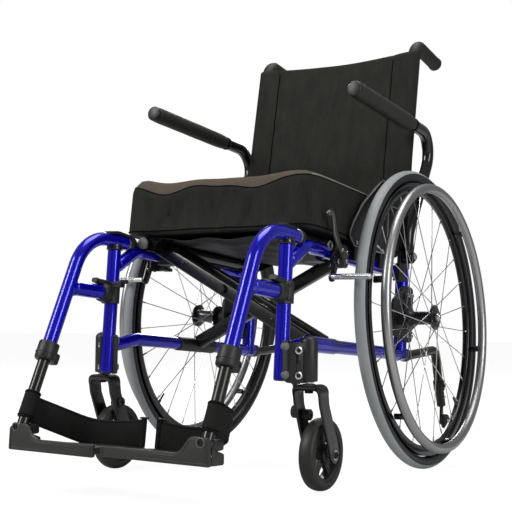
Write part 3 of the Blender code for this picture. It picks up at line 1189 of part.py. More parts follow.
for side, tag in ((1, "left"), (-1, "right")):
    side_frame(side, tag)
    seat_guide(side, tag)
    axle_plate(side, tag)
    castor(side, tag)
    rear_wheel(side, tag)
    back_cane(side, tag)
    armrest(side, tag)
    side_guard(side, tag)
    wheel_lock(side, tag)
    legrest(side, tag)
    anti_tipper(side, tag)
cross_arm(1, "cross_arm_a", [ARM_A_V])
cross_arm(-1, "cross_arm_b", [ARM_B_FRONT_V, ARM_B_REAR_V])
brace_bolt()
seat_sling()
cushion()
back_upholstery()

# Centre the chair's footprint on the origin
bpy.context.view_layer.update()
ends = [(part.matrix_world @ vertex.co).y for part in parts for vertex in part.data.vertices]
CENTRE_Y = (min(ends) + max(ends)) / 2
for part in parts:
    part.location.y -= CENTRE_Y
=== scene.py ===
"""Folding wheelchair: every surface that shows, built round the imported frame.

Metres, +Z up, the chair faces -Y. The side frames lean back a few degrees about the rear
axle, so most places are given as (x, v, w): x to the sitter's left, v rearwards along the
rails and w up from the axle. chair() turns them into world places.
"""

import bmesh
import bpy
import numpy as np
from mathutils import Matrix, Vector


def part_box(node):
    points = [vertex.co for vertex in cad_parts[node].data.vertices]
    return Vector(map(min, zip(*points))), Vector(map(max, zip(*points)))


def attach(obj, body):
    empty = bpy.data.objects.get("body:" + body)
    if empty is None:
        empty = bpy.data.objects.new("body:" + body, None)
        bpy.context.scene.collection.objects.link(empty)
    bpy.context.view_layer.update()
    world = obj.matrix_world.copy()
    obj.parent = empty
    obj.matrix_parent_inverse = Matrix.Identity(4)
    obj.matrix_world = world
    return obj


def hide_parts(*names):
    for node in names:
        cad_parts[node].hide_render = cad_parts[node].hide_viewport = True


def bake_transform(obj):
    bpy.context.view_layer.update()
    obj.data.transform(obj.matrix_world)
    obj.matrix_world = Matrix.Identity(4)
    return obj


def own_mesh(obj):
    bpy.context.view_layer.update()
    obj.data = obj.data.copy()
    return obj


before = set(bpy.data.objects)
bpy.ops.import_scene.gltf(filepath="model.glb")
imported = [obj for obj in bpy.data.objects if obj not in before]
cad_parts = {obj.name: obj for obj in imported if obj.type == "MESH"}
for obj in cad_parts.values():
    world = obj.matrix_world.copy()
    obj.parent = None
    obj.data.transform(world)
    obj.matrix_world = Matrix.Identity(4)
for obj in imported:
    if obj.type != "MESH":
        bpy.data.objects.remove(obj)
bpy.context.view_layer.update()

# Rear wheels
WHEEL_RADIUS = 0.302
TYRE_SECTION = 0.0125
SIDEWALL_STEP = 0.0006
TREAD_EDGE = 64
WHEEL_TRACK = 0.528
CAMBER = np.radians(2.8)
RIM_DEPTH = 0.021
RIM_HALF = 0.011
RIM_OUTER = WHEEL_RADIUS - 2 * TYRE_SECTION - 0.0003
RIM_INNER = RIM_OUTER - RIM_DEPTH
VALVE_TURN = 2.4
WHEEL_SIDES = 128
HANDRIM_RADIUS = 0.262
HANDRIM_TUBE = 0.0095
HANDRIM_OFFSET = 0.037
TAB_COUNT = 6
HUB_HALF = 0.03
FLANGE_RADIUS = 0.0255
HUB_WAIST = 0.0138
SPOKE_COUNT = 28
SPOKE_RADIUS = 0.001
SPOKE_SWEEP = np.radians(52)
AXLE_RADIUS = 0.0062

# Side frames
TILT = np.radians(4.0)
FRAME_X = 0.19
TUBE_RADIUS = 0.0127
POST_RADIUS = 0.014
FRONT_V = -0.44
FRONT_TOP_W = 0.092
FRONT_BOTTOM_W = -0.14
UPPER_RAIL_W = 0.099
LOWER_RAIL_W = -0.0735
LOWER_DROP = 0.0185
LOWER_BEND_V = -0.358
GUSSET_W = 0.056
GUSSET_V = -0.375
REAR_POST_V = 0.062
REAR_POST_TOP_W = 0.12
RAIL_END_V = 0.094

# Scissor brace and seat rails
SEAT_RAIL_X = 0.168
SEAT_RAIL_W = 0.114
SEAT_RAIL_RADIUS = 0.0111
SEAT_RAIL_FRONT_V = -0.382
SEAT_RAIL_BACK_V = 0.03
ARM_DEPTH = 0.027
ARM_WIDTH = 0.018
ARM_A_V = -0.155
ARM_B_FRONT_V = -0.335
ARM_B_REAR_V = -0.265
SLEEVE_RADIUS = 0.0146

# Back canes, grips and arms
CANE_RADIUS = 0.0111
CANE_BOTTOM_W = 0.03
CANE_BEND_W = 0.34
CANE_RECLINE = np.radians(7.0)
HANDLE_W = 0.6222
HANDLE_DROP = np.radians(4.5)
HANDLE_LENGTH = 0.124
HANDLE_BEND = 0.03
HANDLE_SHIFT_V = 0.0035
GRIP_RADIUS = 0.0149
GRIP_START_W = 0.5975
ARM_X = 0.2235
ARM_TUBE_RADIUS = 0.0126
ARM_BOSS_HALF = 0.0112
ARM_PIVOT_V = 0.014
ARM_PIVOT_W = 0.128
ARM_ELBOW_V = 0.124
ARM_ELBOW_RADIUS = 0.048
PAD_W = 0.406
PAD_X = 0.2345
PAD_RADIUS = 0.0166
PAD_FRONT_V = -0.2912
PAD_BACK_V = -0.01

# Castors
CASTOR_X = 0.227
CASTOR_STEM_V = -0.416
CASTOR_TRAIL = 0.047
CASTOR_RADIUS = 0.063
CASTOR_WIDTH = 0.028
HOUSING_RADIUS = 0.015
HOUSING_BOTTOM = 0.19
HOUSING_TOP = 0.262
HOUSING_SINK = 0.004
HOUSING_BOLT_RISE = 0.024
FORK_INSIDE = 0.043
FORK_LEG = 0.0058
FORK_CROWN_TOP = 0.183
FORK_BLADE_TOP = 0.15

# Legrests
HANGER_W = 0.1105
HANGER_ANGLE = np.radians(20.0)
HANGER_BEND = 0.09
HANGER_BACK_V = -0.394
COLLAR_W = -0.11
COLLAR_V = -0.6052
COLLAR_HALF = 0.0165
COLLAR_RADIUS = 0.0185
EXTENSION_RADIUS = 0.0104
EXTENSION_INSERT = 0.045
STUB_RADIUS = 0.0135
STUB_W = 0.0085
SADDLE_RADIUS = 0.0185
SADDLE_HALF = 0.019

# Footplates
PLATE_PIVOT_X = 0.189
PLATE_PIVOT_Z = 0.11
PLATE_FRONT_V = -0.684
PLATE_LIP = 0.008
PLATE_DEPTH = 0.14
PLATE_OUTER_X = 0.205
PLATE_INNER_X = 0.0055
PLATE_BOTTOM_Z = 0.0745
PLATE_LIP_TOP_Z = 0.0915
DECK_TOP_Z = PLATE_LIP_TOP_Z - 0.004
PLATE_THICK = 0.006
PLATE_PITCH = np.radians(6.0)
EAR_TOP_Z = 0.118
EAR_IN_X = 0.168
STRAP_WIDTH = 0.048
STRAP_THICK = 0.0032
STRAP_SLEEVE_Z = 0.1445
STRAP_POST_X = 0.0165
STRAP_POST_V = -0.557
STRAP_SAG = 0.0068

# Wheel locks and anti-tippers
LOCK_PLATE_X = 0.2045
LOCK_PLATE_THICK = 0.005
LOCK_BOLTS = ((-0.252, 0.09), (-0.306, 0.072))
LEVER_PIVOT = (-0.262, 0.1)
LEVER_LINE = ((-0.268, 0.072), (-0.276, 0.09), (-0.298, 0.108), (-0.318, 0.13), (-0.326, 0.158),
              (-0.336, 0.166), (-0.345, 0.161))
LEVER_RING = (-0.334, 0.104)
SHOE_PIVOT = (-0.296, 0.08)
SHOE_BAR = (-0.3125, 0.05)
SHOE_SLEEVE_X = 0.243
SHOE_BAR_END_X = 0.2915
TIPPER_RADIUS = 0.0102
TIPPER_KNEE = (0.264, -0.0535)
TIPPER_LOW = (0.3135, -0.18)
TIPPER_WHEEL = (0.3165, -0.2155)
TIPPER_WHEEL_RADIUS = 0.0165
TIPPER_WHEEL_WIDTH = 0.0128

# Soft parts and guards
CUSHION_X = 0.206
CUSHION_FRONT_V = -0.39
CUSHION_BACK_V = 0.04
CUSHION_BOTTOM_W = 0.1292
SEAM_W = 0.229
CROWN_W = 0.2408
UNDERSIDE_RINGS = 14
WALL_RINGS = 26
HEM_RING = 16
RING_SQUARE = 0.16
FOLD_DEPTH = 1.15
SLING_SAG = 0.0085
BACK_BOTTOM_W = 0.155
BACK_TOP_W = 0.6025
SLEEVE_CLOTH = 0.0146
BACK_SEAM_X = 0.152
NEAR_SEAM_SHIFT = 0.013
CANE_POINTS = 14
GUARD_X = 0.2078
GUARD_THICK = 0.0025
GUARD_FRONT_V = -0.262
GUARD_BACK_V = -0.062
GUARD_BOTTOM_W = 0.122
GUARD_TOP_W = 0.243
GUARD_MOUNTS_V = (-0.205, -0.085)

# Folds in the cushion's front wall: place at its top, lean down to its foot, depth and width
WALL_FOLDS = ((-0.15, 0.01, 0.004, 0.007), (-0.118, 0.03, 0.005, 0.008), (-0.062, -0.02, 0.003, 0.01),
              (0.028, -0.025, 0.004, 0.009), (0.062, 0.02, 0.0035, 0.011), (0.12, 0.035, 0.003, 0.01),
              (-0.088, -0.034, 0.003, 0.006), (-0.02, 0.03, 0.0028, 0.006), (0.092, -0.03, 0.0032, 0.006),
              (0.158, -0.014, 0.0036, 0.006))

# Radius of the tiny ring that closes a turned solid on its axis
POLE = 0.0001

# Rear axle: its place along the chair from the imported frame, its height from the wheel
AXLE_Y = sum(corner.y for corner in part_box("tyre_left")) / 2
AXLE_Z = WHEEL_RADIUS * np.cos(CAMBER)
SIDES = ((1, "left"), (-1, "right"))


def chair(points):
    """World places of (x, v, w) points, turned by the lean of the side frames."""
    x, v, w = np.moveaxis(np.asarray(points, float), -1, 0)
    return np.stack([x, AXLE_Y + v * np.cos(TILT) + w * np.sin(TILT),
                     AXLE_Z - v * np.sin(TILT) + w * np.cos(TILT)], -1)


def floor_place(x, v, z):
    """World place of a point given by x, its distance behind the axle and its height."""
    return np.array([x, AXLE_Y + v, z], float)


def placed(side, points):
    """World places of (x, v, w) points given for the left side, mirrored for the right."""
    return chair(np.array(points, float) * (side, 1, 1))


X_WAY, REAR, UP = np.eye(3)
V_WAY = np.array([0, np.cos(TILT), -np.sin(TILT)])
W_WAY = np.array([0, np.sin(TILT), np.cos(TILT)])


# Surfaces: each is (points, faces, finish), its points worked out as whole arrays
def unit(vectors):
    """Vectors scaled to length one."""
    vectors = np.asarray(vectors, float)
    return vectors / np.linalg.norm(vectors, axis=-1, keepdims=True)


def lattice(points, finish, ring=True, loop=False, caps=True):
    """Quads over a grid of points. ring joins the last column to the first and loop the last
    row to the first; caps closes the first and last rows with one face each."""
    rows, columns = points.shape[:2]
    index = np.arange(rows * columns).reshape(rows, columns)
    wide = np.hstack([index, index[:, :1]]) if ring else index
    tall = np.vstack([wide, wide[:1]]) if loop else wide
    quads = np.stack([tall[:-1, :-1], tall[:-1, 1:], tall[1:, 1:], tall[1:, :-1]], -1)
    faces = quads.reshape(-1, 4).tolist()
    if caps and not loop:
        faces.append(index[0, ::-1].tolist())
        faces.append(index[-1].tolist())
    return points.reshape(-1, 3), faces, finish


def rounded(corners, radii, step=np.radians(6)):
    """Polyline through corners whose inner corners are arcs. An arc's centre lies on the
    corner's bisector at radius / sin(half angle), and it runs between the tangent points."""
    corners = np.asarray(corners, float)
    run = [corners[:1]]
    for before, corner, after, radius in zip(corners, corners[1:], corners[2:], radii):
        back, ahead = unit(before - corner), unit(after - corner)
        half = np.arccos(np.clip(back @ ahead, -1, 1)) / 2
        if radius == 0 or half > np.pi / 2 - 1e-3:
            run.append(corner[None])
            continue
        middle = corner + unit(back + ahead) * radius / np.sin(half)
        start = unit(corner + back * radius / np.tan(half) - middle)
        end = unit(corner + ahead * radius / np.tan(half) - middle)
        sweep = np.pi - 2 * half
        t = np.linspace(0, 1, max(3, int(sweep / step) + 2))[:, None]
        arc = (np.sin((1 - t) * sweep) * start + np.sin(t * sweep) * end) / np.sin(sweep)
        run.append(middle + arc * radius)
    run.append(corners[-1:])
    return np.vstack(run)


def bell(value, centre, width):
    """Bell curve of height one."""
    return np.exp(-((value - centre) / width) ** 2)


def even_path(path, count):
    """The path resampled at equal steps of its own length."""
    run = np.r_[0, np.cumsum(np.linalg.norm(np.diff(path, axis=0), axis=1))]
    even = np.linspace(0, run[-1], count)
    return np.stack([np.interp(even, run, path[:, k]) for k in range(3)], 1)


def circle(radius, sides):
    """Section points of a circle."""
    turn = np.linspace(0, 2 * np.pi, sides, endpoint=False)
    return np.stack([np.cos(turn), np.sin(turn)], 1) * radius


def rounded_rectangle(width, height, radius, steps=4):
    """Section points of a rectangle whose corners are quarter circles."""
    centre = np.array([[1, 1], [-1, 1], [-1, -1], [1, -1]]) * (width / 2 - radius, height / 2 - radius)
    angle = np.linspace(0, np.pi / 2, steps)[None] + np.arange(4)[:, None] * np.pi / 2
    arcs = centre[:, None] + radius * np.stack([np.cos(angle), np.sin(angle)], -1)
    return arcs.reshape(-1, 2)


def swept(path, section, finish, across=X_WAY, scale=None, chamfer=0.0006):
    """A section carried along a path. Its first axis stays as near to across as the path
    allows, its second is square to both, and each end is chamfered and capped."""
    path = np.asarray(path, float)
    runs = unit(np.diff(path, axis=0))
    ahead = unit(np.vstack([runs[:1], runs[:-1] + runs[1:], runs[-1:]]))
    side = unit(across - (ahead @ across)[:, None] * ahead)
    up = np.cross(ahead, side)
    scale = np.ones(len(path)) if scale is None else np.asarray(scale, float)
    if chamfer > 0:
        less = 1 - chamfer / np.abs(section).max()
        path = np.vstack([path[:1], path[:1] + ahead[:1] * chamfer, path[1:-1],
                          path[-1:] - ahead[-1:] * chamfer, path[-1:]])
        order = [0, 0, *range(1, len(side) - 1), -1, -1]
        side, up = side[order], up[order]
        scale = np.r_[scale[0] * less, scale[0], scale[1:-1], scale[-1], scale[-1] * less]
    spread = section[None] * scale[:, None, None]
    points = path[:, None] + spread[..., :1] * side[:, None] + spread[..., 1:] * up[:, None]
    return lattice(points, finish)


def pipe(path, radius, finish, sides=24, across=X_WAY, scale=None, chamfer=0.0006):
    """Round bar along a path."""
    return swept(path, circle(radius, sides), finish, across, scale, chamfer)


def bar(side, corners, radii, radius, finish, sides=24):
    """Round bar through (x, v, w) corners given for the left side."""
    return pipe(rounded(placed(side, corners), radii), radius, finish, sides)


def basis(axis):
    """Two unit vectors square to an axis and to each other."""
    axis = unit(axis)
    first = unit(np.cross(axis, (0, 0, 1) if abs(axis[2]) < 0.8 else (0, 1, 0)))
    return first, np.cross(axis, first)


def turned(profile, centre, axis, finish, sides=48, loop=False, caps=True):
    """Solid of revolution of (radius, distance along the axis) points about an axis."""
    profile = np.asarray(profile, float)
    axis = unit(axis)
    first, second = basis(axis)
    turn = np.linspace(0, 2 * np.pi, sides, endpoint=False)[:, None, None]
    reach, along = profile[None, :, :1], profile[None, :, 1:]
    points = centre + along * axis + reach * (np.cos(turn) * first + np.sin(turn) * second)
    return lattice(points.transpose(1, 0, 2), finish, loop=loop, caps=caps)


def hoop(section, centre, axis, finish, sides=48):
    """Ring about an axis, of a closed section that stays clear of it."""
    return turned(section, centre, axis, finish, sides, loop=True)


def washer(inner, outer, height, centre, axis, finish):
    """Flat ring."""
    return hoop([(inner, 0), (outer, 0), (outer, height), (inner, height)], centre, axis, finish, 28)


def knob(profile, centre, axis, finish, sides=24, dome=0.0):
    """Solid of revolution closed flat on the axis below its first point, and above its last
    point at that point's distance plus dome."""
    ends = (POLE, profile[0][1]), (POLE, profile[-1][1] + dome)
    return turned([ends[0], *profile, ends[1]], centre, axis, finish, sides)


def screw(centre, axis, finish, radius, height):
    """Button-head screw: domed profile with a round recess in its top."""
    profile = [(radius, -0.001), (radius, 0), (radius, height * 0.35), (radius * 0.86, height * 0.8),
               (radius * 0.62, height), (radius * 0.42, height), (radius * 0.38, height * 0.35)]
    return knob(profile, centre, axis, finish, 18, height * -0.05)


def outline(corners, radii, steps=5):
    """Closed outline with rounded corners, (n, 2)."""
    corners = np.pad(np.asarray(corners, float), ((0, 0), (0, 1)))
    trios = zip(np.roll(corners, 1, 0), corners, np.roll(corners, -1, 0), radii)
    return np.vstack([rounded([before, corner, after], [radius], np.pi / 2 / steps)[1:-1, :2]
                      for before, corner, after, radius in trios])


def inset(ring, distance):
    """An outline moved inwards, each point along the mean of its two edges' normals."""
    ahead = unit(np.roll(ring, -1, 0) - ring)
    back = unit(ring - np.roll(ring, 1, 0))
    normal = unit(np.stack([-(ahead + back)[:, 1], (ahead + back)[:, 0]], 1))
    area = np.sum(ring[:, 0] * np.roll(ring[:, 1], -1) - np.roll(ring[:, 0], -1) * ring[:, 1])
    return ring + normal * distance * np.sign(area)


def plate(ring, place, near, far, finish, bevel=0.001):
    """Plate of an outline between two depths, its edges bevelled by a rounded quarter step."""
    ring = np.asarray(ring, float)
    away = np.sign(far - near)
    cut = bevel * (1 - np.sqrt(0.5))
    rows = []
    for depth, step in ((near, bevel), (near + away * cut, cut), (near + away * bevel, 0),
                        (far - away * bevel, 0), (far - away * cut, cut), (far, bevel)):
        edge = inset(ring, step)
        rows.append(place(edge[:, 0], edge[:, 1], np.full(len(edge), depth)))
    return lattice(np.stack(rows), finish)


def upright_place(side):
    """Maps (v, w, distance from the middle plane) to world places on one side."""
    return lambda v, w, x: chair(np.stack([side * x, v, w], -1))


def block(centre, size, finish, axes=(X_WAY, V_WAY, W_WAY), radius=0.002):
    """Box with rounded edges: a rounded rectangle carried along the third axis."""
    wide, deep, tall = axes
    section = rounded_rectangle(size[0], size[1], radius)
    depth = np.array([0, radius * 0.3, radius])
    rise = np.r_[depth, size[2] - depth[::-1]] - size[2] / 2
    shrink = 1 - np.array([radius, radius * 0.3, 0]) * 2 / min(size[:2])
    shrink = np.r_[shrink, shrink[::-1]]
    flat = section[:, :1] * wide + section[:, 1:] * deep
    return lattice(centre + rise[:, None, None] * tall + shrink[:, None, None] * flat, finish)


def piece(name, surfaces, body, nodes=(), smooth=32, soft=False):
    """Make one mesh of all the surfaces, closed and facing out, and hang it on its body unless it is soft."""
    finishes = []
    points, faces, marks = [], [], []
    count = 0
    for cloud, quads, finish in surfaces:
        if finish not in finishes:
            finishes.append(finish)
        points.append(cloud)
        faces.extend([[i + count for i in quad] for quad in quads])
        marks.extend([finishes.index(finish)] * len(quads))
        count += len(cloud)
    mesh = bpy.data.meshes.new(name)
    mesh.from_pydata(np.vstack(points), [], faces)
    mesh.polygons.foreach_set("material_index", marks)
    work = bmesh.new()
    work.from_mesh(mesh)
    bmesh.ops.remove_doubles(work, verts=work.verts, dist=2e-6)
    bmesh.ops.dissolve_degenerate(work, edges=work.edges, dist=1e-7)
    bmesh.ops.recalc_face_normals(work, faces=work.faces)
    work.to_mesh(mesh)
    work.free()
    for finish in finishes:
        mesh.materials.append(finish)
    mesh.shade_smooth()
    mesh.set_sharp_from_angle(angle=np.radians(smooth))
    made = bpy.data.objects.new(name, mesh)
    bpy.context.scene.collection.objects.link(made)
    if not soft:
        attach(made, body)
    if nodes:
        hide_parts(*nodes)
    return made


def dress(node, ending, surfaces, body):
    """A piece that stands for a CAD node and is named after it."""
    piece(node + "_" + ending, surfaces, body, [node])


def refined(node, ending, body, bevel, extra):
    """A CAD node's own shape in black moulding, with its loose triangles merged, flat areas
    joined and edges bevelled; the extra surfaces ride with it as a piece of their own."""
    name = node + "_" + ending
    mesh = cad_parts[node].data.copy()
    work = bmesh.new()
    work.from_mesh(mesh)
    bmesh.ops.remove_doubles(work, verts=work.verts, dist=1e-6)
    bmesh.ops.dissolve_limit(work, angle_limit=np.radians(2), verts=work.verts, edges=work.edges)
    work.to_mesh(mesh)
    work.free()
    mesh.materials.clear()
    mesh.materials.append(MOULDING)
    made = bpy.data.objects.new(name, mesh)
    bpy.context.scene.collection.objects.link(made)
    edge = made.modifiers.new("edge", "BEVEL")
    edge.width = bevel
    edge.segments = 2
    edge.limit_method = "ANGLE"
    edge.angle_limit = np.radians(38)
    edge.use_clamp_overlap = True
    mesh.shade_smooth()
    mesh.set_sharp_from_angle(angle=np.radians(38))
    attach(made, body)
    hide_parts(node)
    piece(name + "_trim", extra, body, ())


# Shared shader groups
def new_group(name, inputs, outputs):
    """Node group with float or colour inputs (name, default) and named outputs (name, kind)."""
    group = bpy.data.node_groups.new(name, "ShaderNodeTree")
    for label, default in inputs:
        kind = "NodeSocketColor" if isinstance(default, tuple) else "NodeSocketFloat"
        socket = group.interface.new_socket(name=label, in_out="INPUT", socket_type=kind)
        socket.default_value = default
    for label, kind in outputs:
        group.interface.new_socket(name=label, in_out="OUTPUT", socket_type=kind)
    return group, group.nodes.new("NodeGroupInput"), group.nodes.new("NodeGroupOutput")


def wire(tree, start, end):
    tree.links.new(end, start)


def set_or_wire(tree, value, target):
    """Give an input a value, or wire it to the socket given instead."""
    if isinstance(value, bpy.types.NodeSocket):
        wire(tree, value, target)
    else:
        target.default_value = value


def math_node(tree, operation, first, second=0.0):
    """Math node whose operands are numbers or sockets; returns its output."""
    node = tree.nodes.new("ShaderNodeMath")
    node.operation = operation
    for value, target in zip((first, second), node.inputs):
        set_or_wire(tree, value, target)
    return node.outputs[0]


def mixed(tree, factor, first, second):
    """Colour mix of two colours or sockets by a factor; returns the colour."""
    node = tree.nodes.new("ShaderNodeMix")
    node.data_type = "RGBA"
    wire(tree, factor, node.inputs["Factor"])
    for label, value in (("A", first), ("B", second)):
        set_or_wire(tree, value, next(s for s in node.inputs if s.name == label and s.type == "RGBA"))
    return next(s for s in node.outputs if s.type == "RGBA")


def object_noise(tree, scale, detail=3.0, stretch=None):
    """Noise on object coordinates, stretched by a vector if one is given."""
    place = tree.nodes.new("ShaderNodeTexCoord").outputs["Object"]
    if stretch:
        mapping = tree.nodes.new("ShaderNodeMapping")
        mapping.inputs["Scale"].default_value = stretch
        wire(tree, place, mapping.inputs["Vector"])
        place = mapping.outputs["Vector"]
    noise = tree.nodes.new("ShaderNodeTexNoise")
    noise.inputs["Detail"].default_value = detail
    wire(tree, place, noise.inputs["Vector"])
    set_or_wire(tree, scale, noise.inputs["Scale"])
    return noise.outputs["Fac"]


def bump_out(tree, strength, height, distance, out):
    """Bump of a height, wired to a group's normal output."""
    bump = tree.nodes.new("ShaderNodeBump")
    bump.inputs["Distance"].default_value = distance
    wire(tree, strength, bump.inputs["Strength"])
    wire(tree, height, bump.inputs["Height"])
    wire(tree, bump.outputs["Normal"], out.inputs["Normal"])


def grain_group():
    """Fine surface grain: noise that tints the colour a little and bumps the normal."""
    group, inside, out = new_group(
        "grain", [("Colour", (0.5, 0.5, 0.5, 1.0)), ("Roughness", 0.5), ("Scale", 400.0), ("Depth", 0.2),
                  ("Tint", 0.15)],
        [("Colour", "NodeSocketColor"), ("Roughness", "NodeSocketFloat"), ("Normal", "NodeSocketVector")])
    fine = object_noise(group, inside.outputs["Scale"])
    broad = object_noise(group, 9.0, 4.0)
    uneven = math_node(group, "SUBTRACT", broad, 0.5)
    swing = math_node(group, "MULTIPLY", uneven, inside.outputs["Tint"])
    gain = math_node(group, "ADD", swing, 1.0)
    colour = group.nodes.new("ShaderNodeVectorMath")
    colour.operation = "SCALE"
    wire(group, inside.outputs["Colour"], colour.inputs[0])
    wire(group, gain, colour.inputs["Scale"])
    wire(group, colour.outputs[0], out.inputs["Colour"])
    rough = math_node(group, "MULTIPLY", uneven, 0.25)
    wire(group, math_node(group, "ADD", inside.outputs["Roughness"], rough), out.inputs["Roughness"])
    bump_out(group, inside.outputs["Depth"], fine, 0.0006, out)
    return group


def weave_group():
    """Plain weave: warp and weft as sine waves along two slanted object directions, slubs from
    stretched noise, and long light and dark streaks of painted fold shade, for colour and bump."""
    group, inside, out = new_group(
        "weave", [("Colour", (0.02, 0.02, 0.02, 1.0)), ("Thread", (0.05, 0.05, 0.05, 1.0)), ("Scale", 900.0),
                  ("Crease", 0.5), ("Depth", 0.5)],
        [("Colour", "NodeSocketColor"), ("Normal", "NodeSocketVector")])
    place = group.nodes.new("ShaderNodeTexCoord").outputs["Object"]
    split = group.nodes.new("ShaderNodeSeparateXYZ")
    wire(group, place, split.inputs[0])
    pitch = inside.outputs["Scale"]
    across = math_node(group, "ADD", split.outputs["X"], split.outputs["Y"])
    warp = math_node(group, "SINE", math_node(group, "MULTIPLY", across, pitch))
    slant = math_node(group, "MULTIPLY", split.outputs["Y"], 0.4)
    upward = math_node(group, "ADD", split.outputs["Z"], slant)
    weft = math_node(group, "SINE", math_node(group, "MULTIPLY", upward, pitch))
    cross = math_node(group, "MULTIPLY", warp, weft)
    slub = object_noise(group, 160.0, 3.0, (6.0, 6.0, 0.35))
    # Painted fold shade: stretched noise that lightens and darkens the cloth in long streaks where creases
    # would shade it; it bumps the normal too.
    painted_fold_shade = math_node(group, "SUBTRACT", object_noise(group, 20.0, 4.0, (2.6, 2.6, 0.6)), 0.5)
    soft = math_node(group, "ADD", slub, math_node(group, "MULTIPLY", painted_fold_shade, inside.outputs["Crease"]))
    level = math_node(group, "ADD", math_node(group, "MULTIPLY", cross, 0.4), soft)
    limit = group.nodes.new("ShaderNodeClamp")
    wire(group, math_node(group, "SUBTRACT", level, 0.05), limit.inputs[0])
    tint = mixed(group, limit.outputs[0], inside.outputs["Colour"], inside.outputs["Thread"])
    wire(group, tint, out.inputs["Colour"])
    bump_out(group, inside.outputs["Depth"], level, 0.0005, out)
    return group


def dust_group():
    """Dust that settles on faces that look up: the normal's height times patchy noise."""
    group, inside, out = new_group(
        "dust", [("Colour", (0.5, 0.5, 0.5, 1.0)), ("Dust", (0.3, 0.29, 0.27, 1.0)), ("Amount", 0.1)],
        [("Colour", "NodeSocketColor")])
    up = group.nodes.new("ShaderNodeSeparateXYZ")
    wire(group, group.nodes.new("ShaderNodeNewGeometry").outputs["Normal"], up.inputs[0])
    high = math_node(group, "MAXIMUM", up.outputs["Z"], 0.0)
    patch = object_noise(group, 22.0, 5.0)
    cover = math_node(group, "MULTIPLY", math_node(group, "MULTIPLY", high, patch), inside.outputs["Amount"])
    wire(group, mixed(group, cover, inside.outputs["Colour"], inside.outputs["Dust"]), out.inputs["Colour"])
    return group


GRAIN, WEAVE, DUST = grain_group(), weave_group(), dust_group()


def new_material(name):
    """A node material, with its tree and its main shader."""
    made = bpy.data.materials.new(name)
    made.use_nodes = True
    return made, made.node_tree, made.node_tree.nodes["Principled BSDF"]


def group_node(tree, group, **values):
    """A group placed in a material with its own values."""
    node = tree.nodes.new("ShaderNodeGroup")
    node.node_tree = group
    for label, value in values.items():
        node.inputs[label].default_value = value
    return node


def hard_finish(name, colour, rough, metal, scale, depth, tint, coat=0.0, dust=0.0, coat_rough=0.05):
    """Paint, moulding, rubber or metal: grain of a scale and depth, unevenness of colour by tint,
    a coat if any and a little dust."""
    made, tree, shader = new_material(name)
    grain = group_node(tree, GRAIN, Colour=(*colour, 1.0), Roughness=rough, Scale=scale, Depth=depth,
                       Tint=tint)
    settled = group_node(tree, DUST, Amount=dust)
    wire(tree, grain.outputs["Colour"], settled.inputs["Colour"])
    wire(tree, settled.outputs["Colour"], shader.inputs["Base Color"])
    wire(tree, grain.outputs["Roughness"], shader.inputs["Roughness"])
    wire(tree, grain.outputs["Normal"], shader.inputs["Normal"])
    shader.inputs["Metallic"].default_value = metal
    shader.inputs["Coat Weight"].default_value = coat
    shader.inputs["Coat Roughness"].default_value = coat_rough
    return made


def cloth_finish(name, colour, thread, scale, depth, rough, specular, painted_fold_shade=0.4):
    """Woven cloth: the weave's colour and bump, with a weak gloss, and long light and dark streaks of painted
    fold shade as strong as its last value.
    """
    made, tree, shader = new_material(name)
    weave = group_node(tree, WEAVE, Colour=(*colour, 1.0), Thread=(*thread, 1.0), Scale=scale, Depth=depth,
                       Crease=painted_fold_shade)
    wire(tree, weave.outputs["Colour"], shader.inputs["Base Color"])
    wire(tree, weave.outputs["Normal"], shader.inputs["Normal"])
    shader.inputs["Roughness"].default_value = rough
    shader.inputs["Specular IOR Level"].default_value = specular
    return made


BLUE = hard_finish("blue_enamel", (0.004, 0.001, 0.53), 0.21, 0.58, 900, 0.02, 0.1, coat=0.65,
                   coat_rough=0.03)
BLACK_PAINT = hard_finish("black_paint", (0.004, 0.004, 0.0042), 0.24, 0, 700, 0.04, 0.2, coat=0.25,
                          dust=0.06)
MOULDING = hard_finish("black_moulding", (0.0075, 0.008, 0.007), 0.46, 0, 1400, 0.22, 0.25, dust=0.03)
PLATE_PLASTIC = hard_finish("footplate_moulding", (0.0185, 0.0195, 0.017), 0.48, 0, 1500, 0.35, 0.35,
                            dust=0.05)
GRIP_RUBBER = hard_finish("grip_rubber", (0.006, 0.006, 0.0055), 0.58, 0, 1800, 0.35, 0.2, dust=0.02)
PAD_FOAM = hard_finish("pad_foam", (0.0125, 0.0126, 0.0102), 0.62, 0, 2600, 0.6, 0.35, dust=0.02)
TREAD = hard_finish("grey_tread", (0.3, 0.318, 0.32), 0.6, 0, 500, 0.12, 0.12)
SIDEWALL = hard_finish("dark_sidewall", (0.01, 0.012, 0.017), 0.42, 0, 800, 0.1, 0.2)
RIM_BLACK = hard_finish("rim_black", (0.0035, 0.0035, 0.0038), 0.24, 0, 900, 0.03, 0.15, coat=0.2)
HANDRIM_GREY = hard_finish("handrim_anodised", (0.4, 0.4, 0.4), 0.36, 0.95, 1200, 0.04, 0.1)
SPOKE_STEEL = hard_finish("spoke_steel", (0.62, 0.62, 0.61), 0.22, 1, 900, 0.02, 0.1)
ZINC = hard_finish("zinc_screw", (0.6, 0.6, 0.58), 0.26, 1, 900, 0.05, 0.2)
BLACK_SCREW = hard_finish("black_screw", (0.02, 0.02, 0.02), 0.32, 0.6, 900, 0.05, 0.2)
TUBE_GREY = hard_finish("dark_anodised", (0.045, 0.044, 0.04), 0.27, 0.85, 900, 0.04, 0.2)
CAP_BLACK = hard_finish("cap_black", (0.007, 0.0072, 0.0068), 0.42, 0, 900, 0.02, 0.1)
STEEL_DARK = hard_finish("forged_steel", (0.16, 0.16, 0.145), 0.34, 0.85, 700, 0.1, 0.3)
PLUG_GREY = hard_finish("grey_plug", (0.13, 0.13, 0.125), 0.5, 0, 900, 0.2, 0.2)
CASTOR_TYRE = hard_finish("castor_rubber", (0.012, 0.0125, 0.0105), 0.5, 0, 900, 0.2, 0.4, dust=0.05)
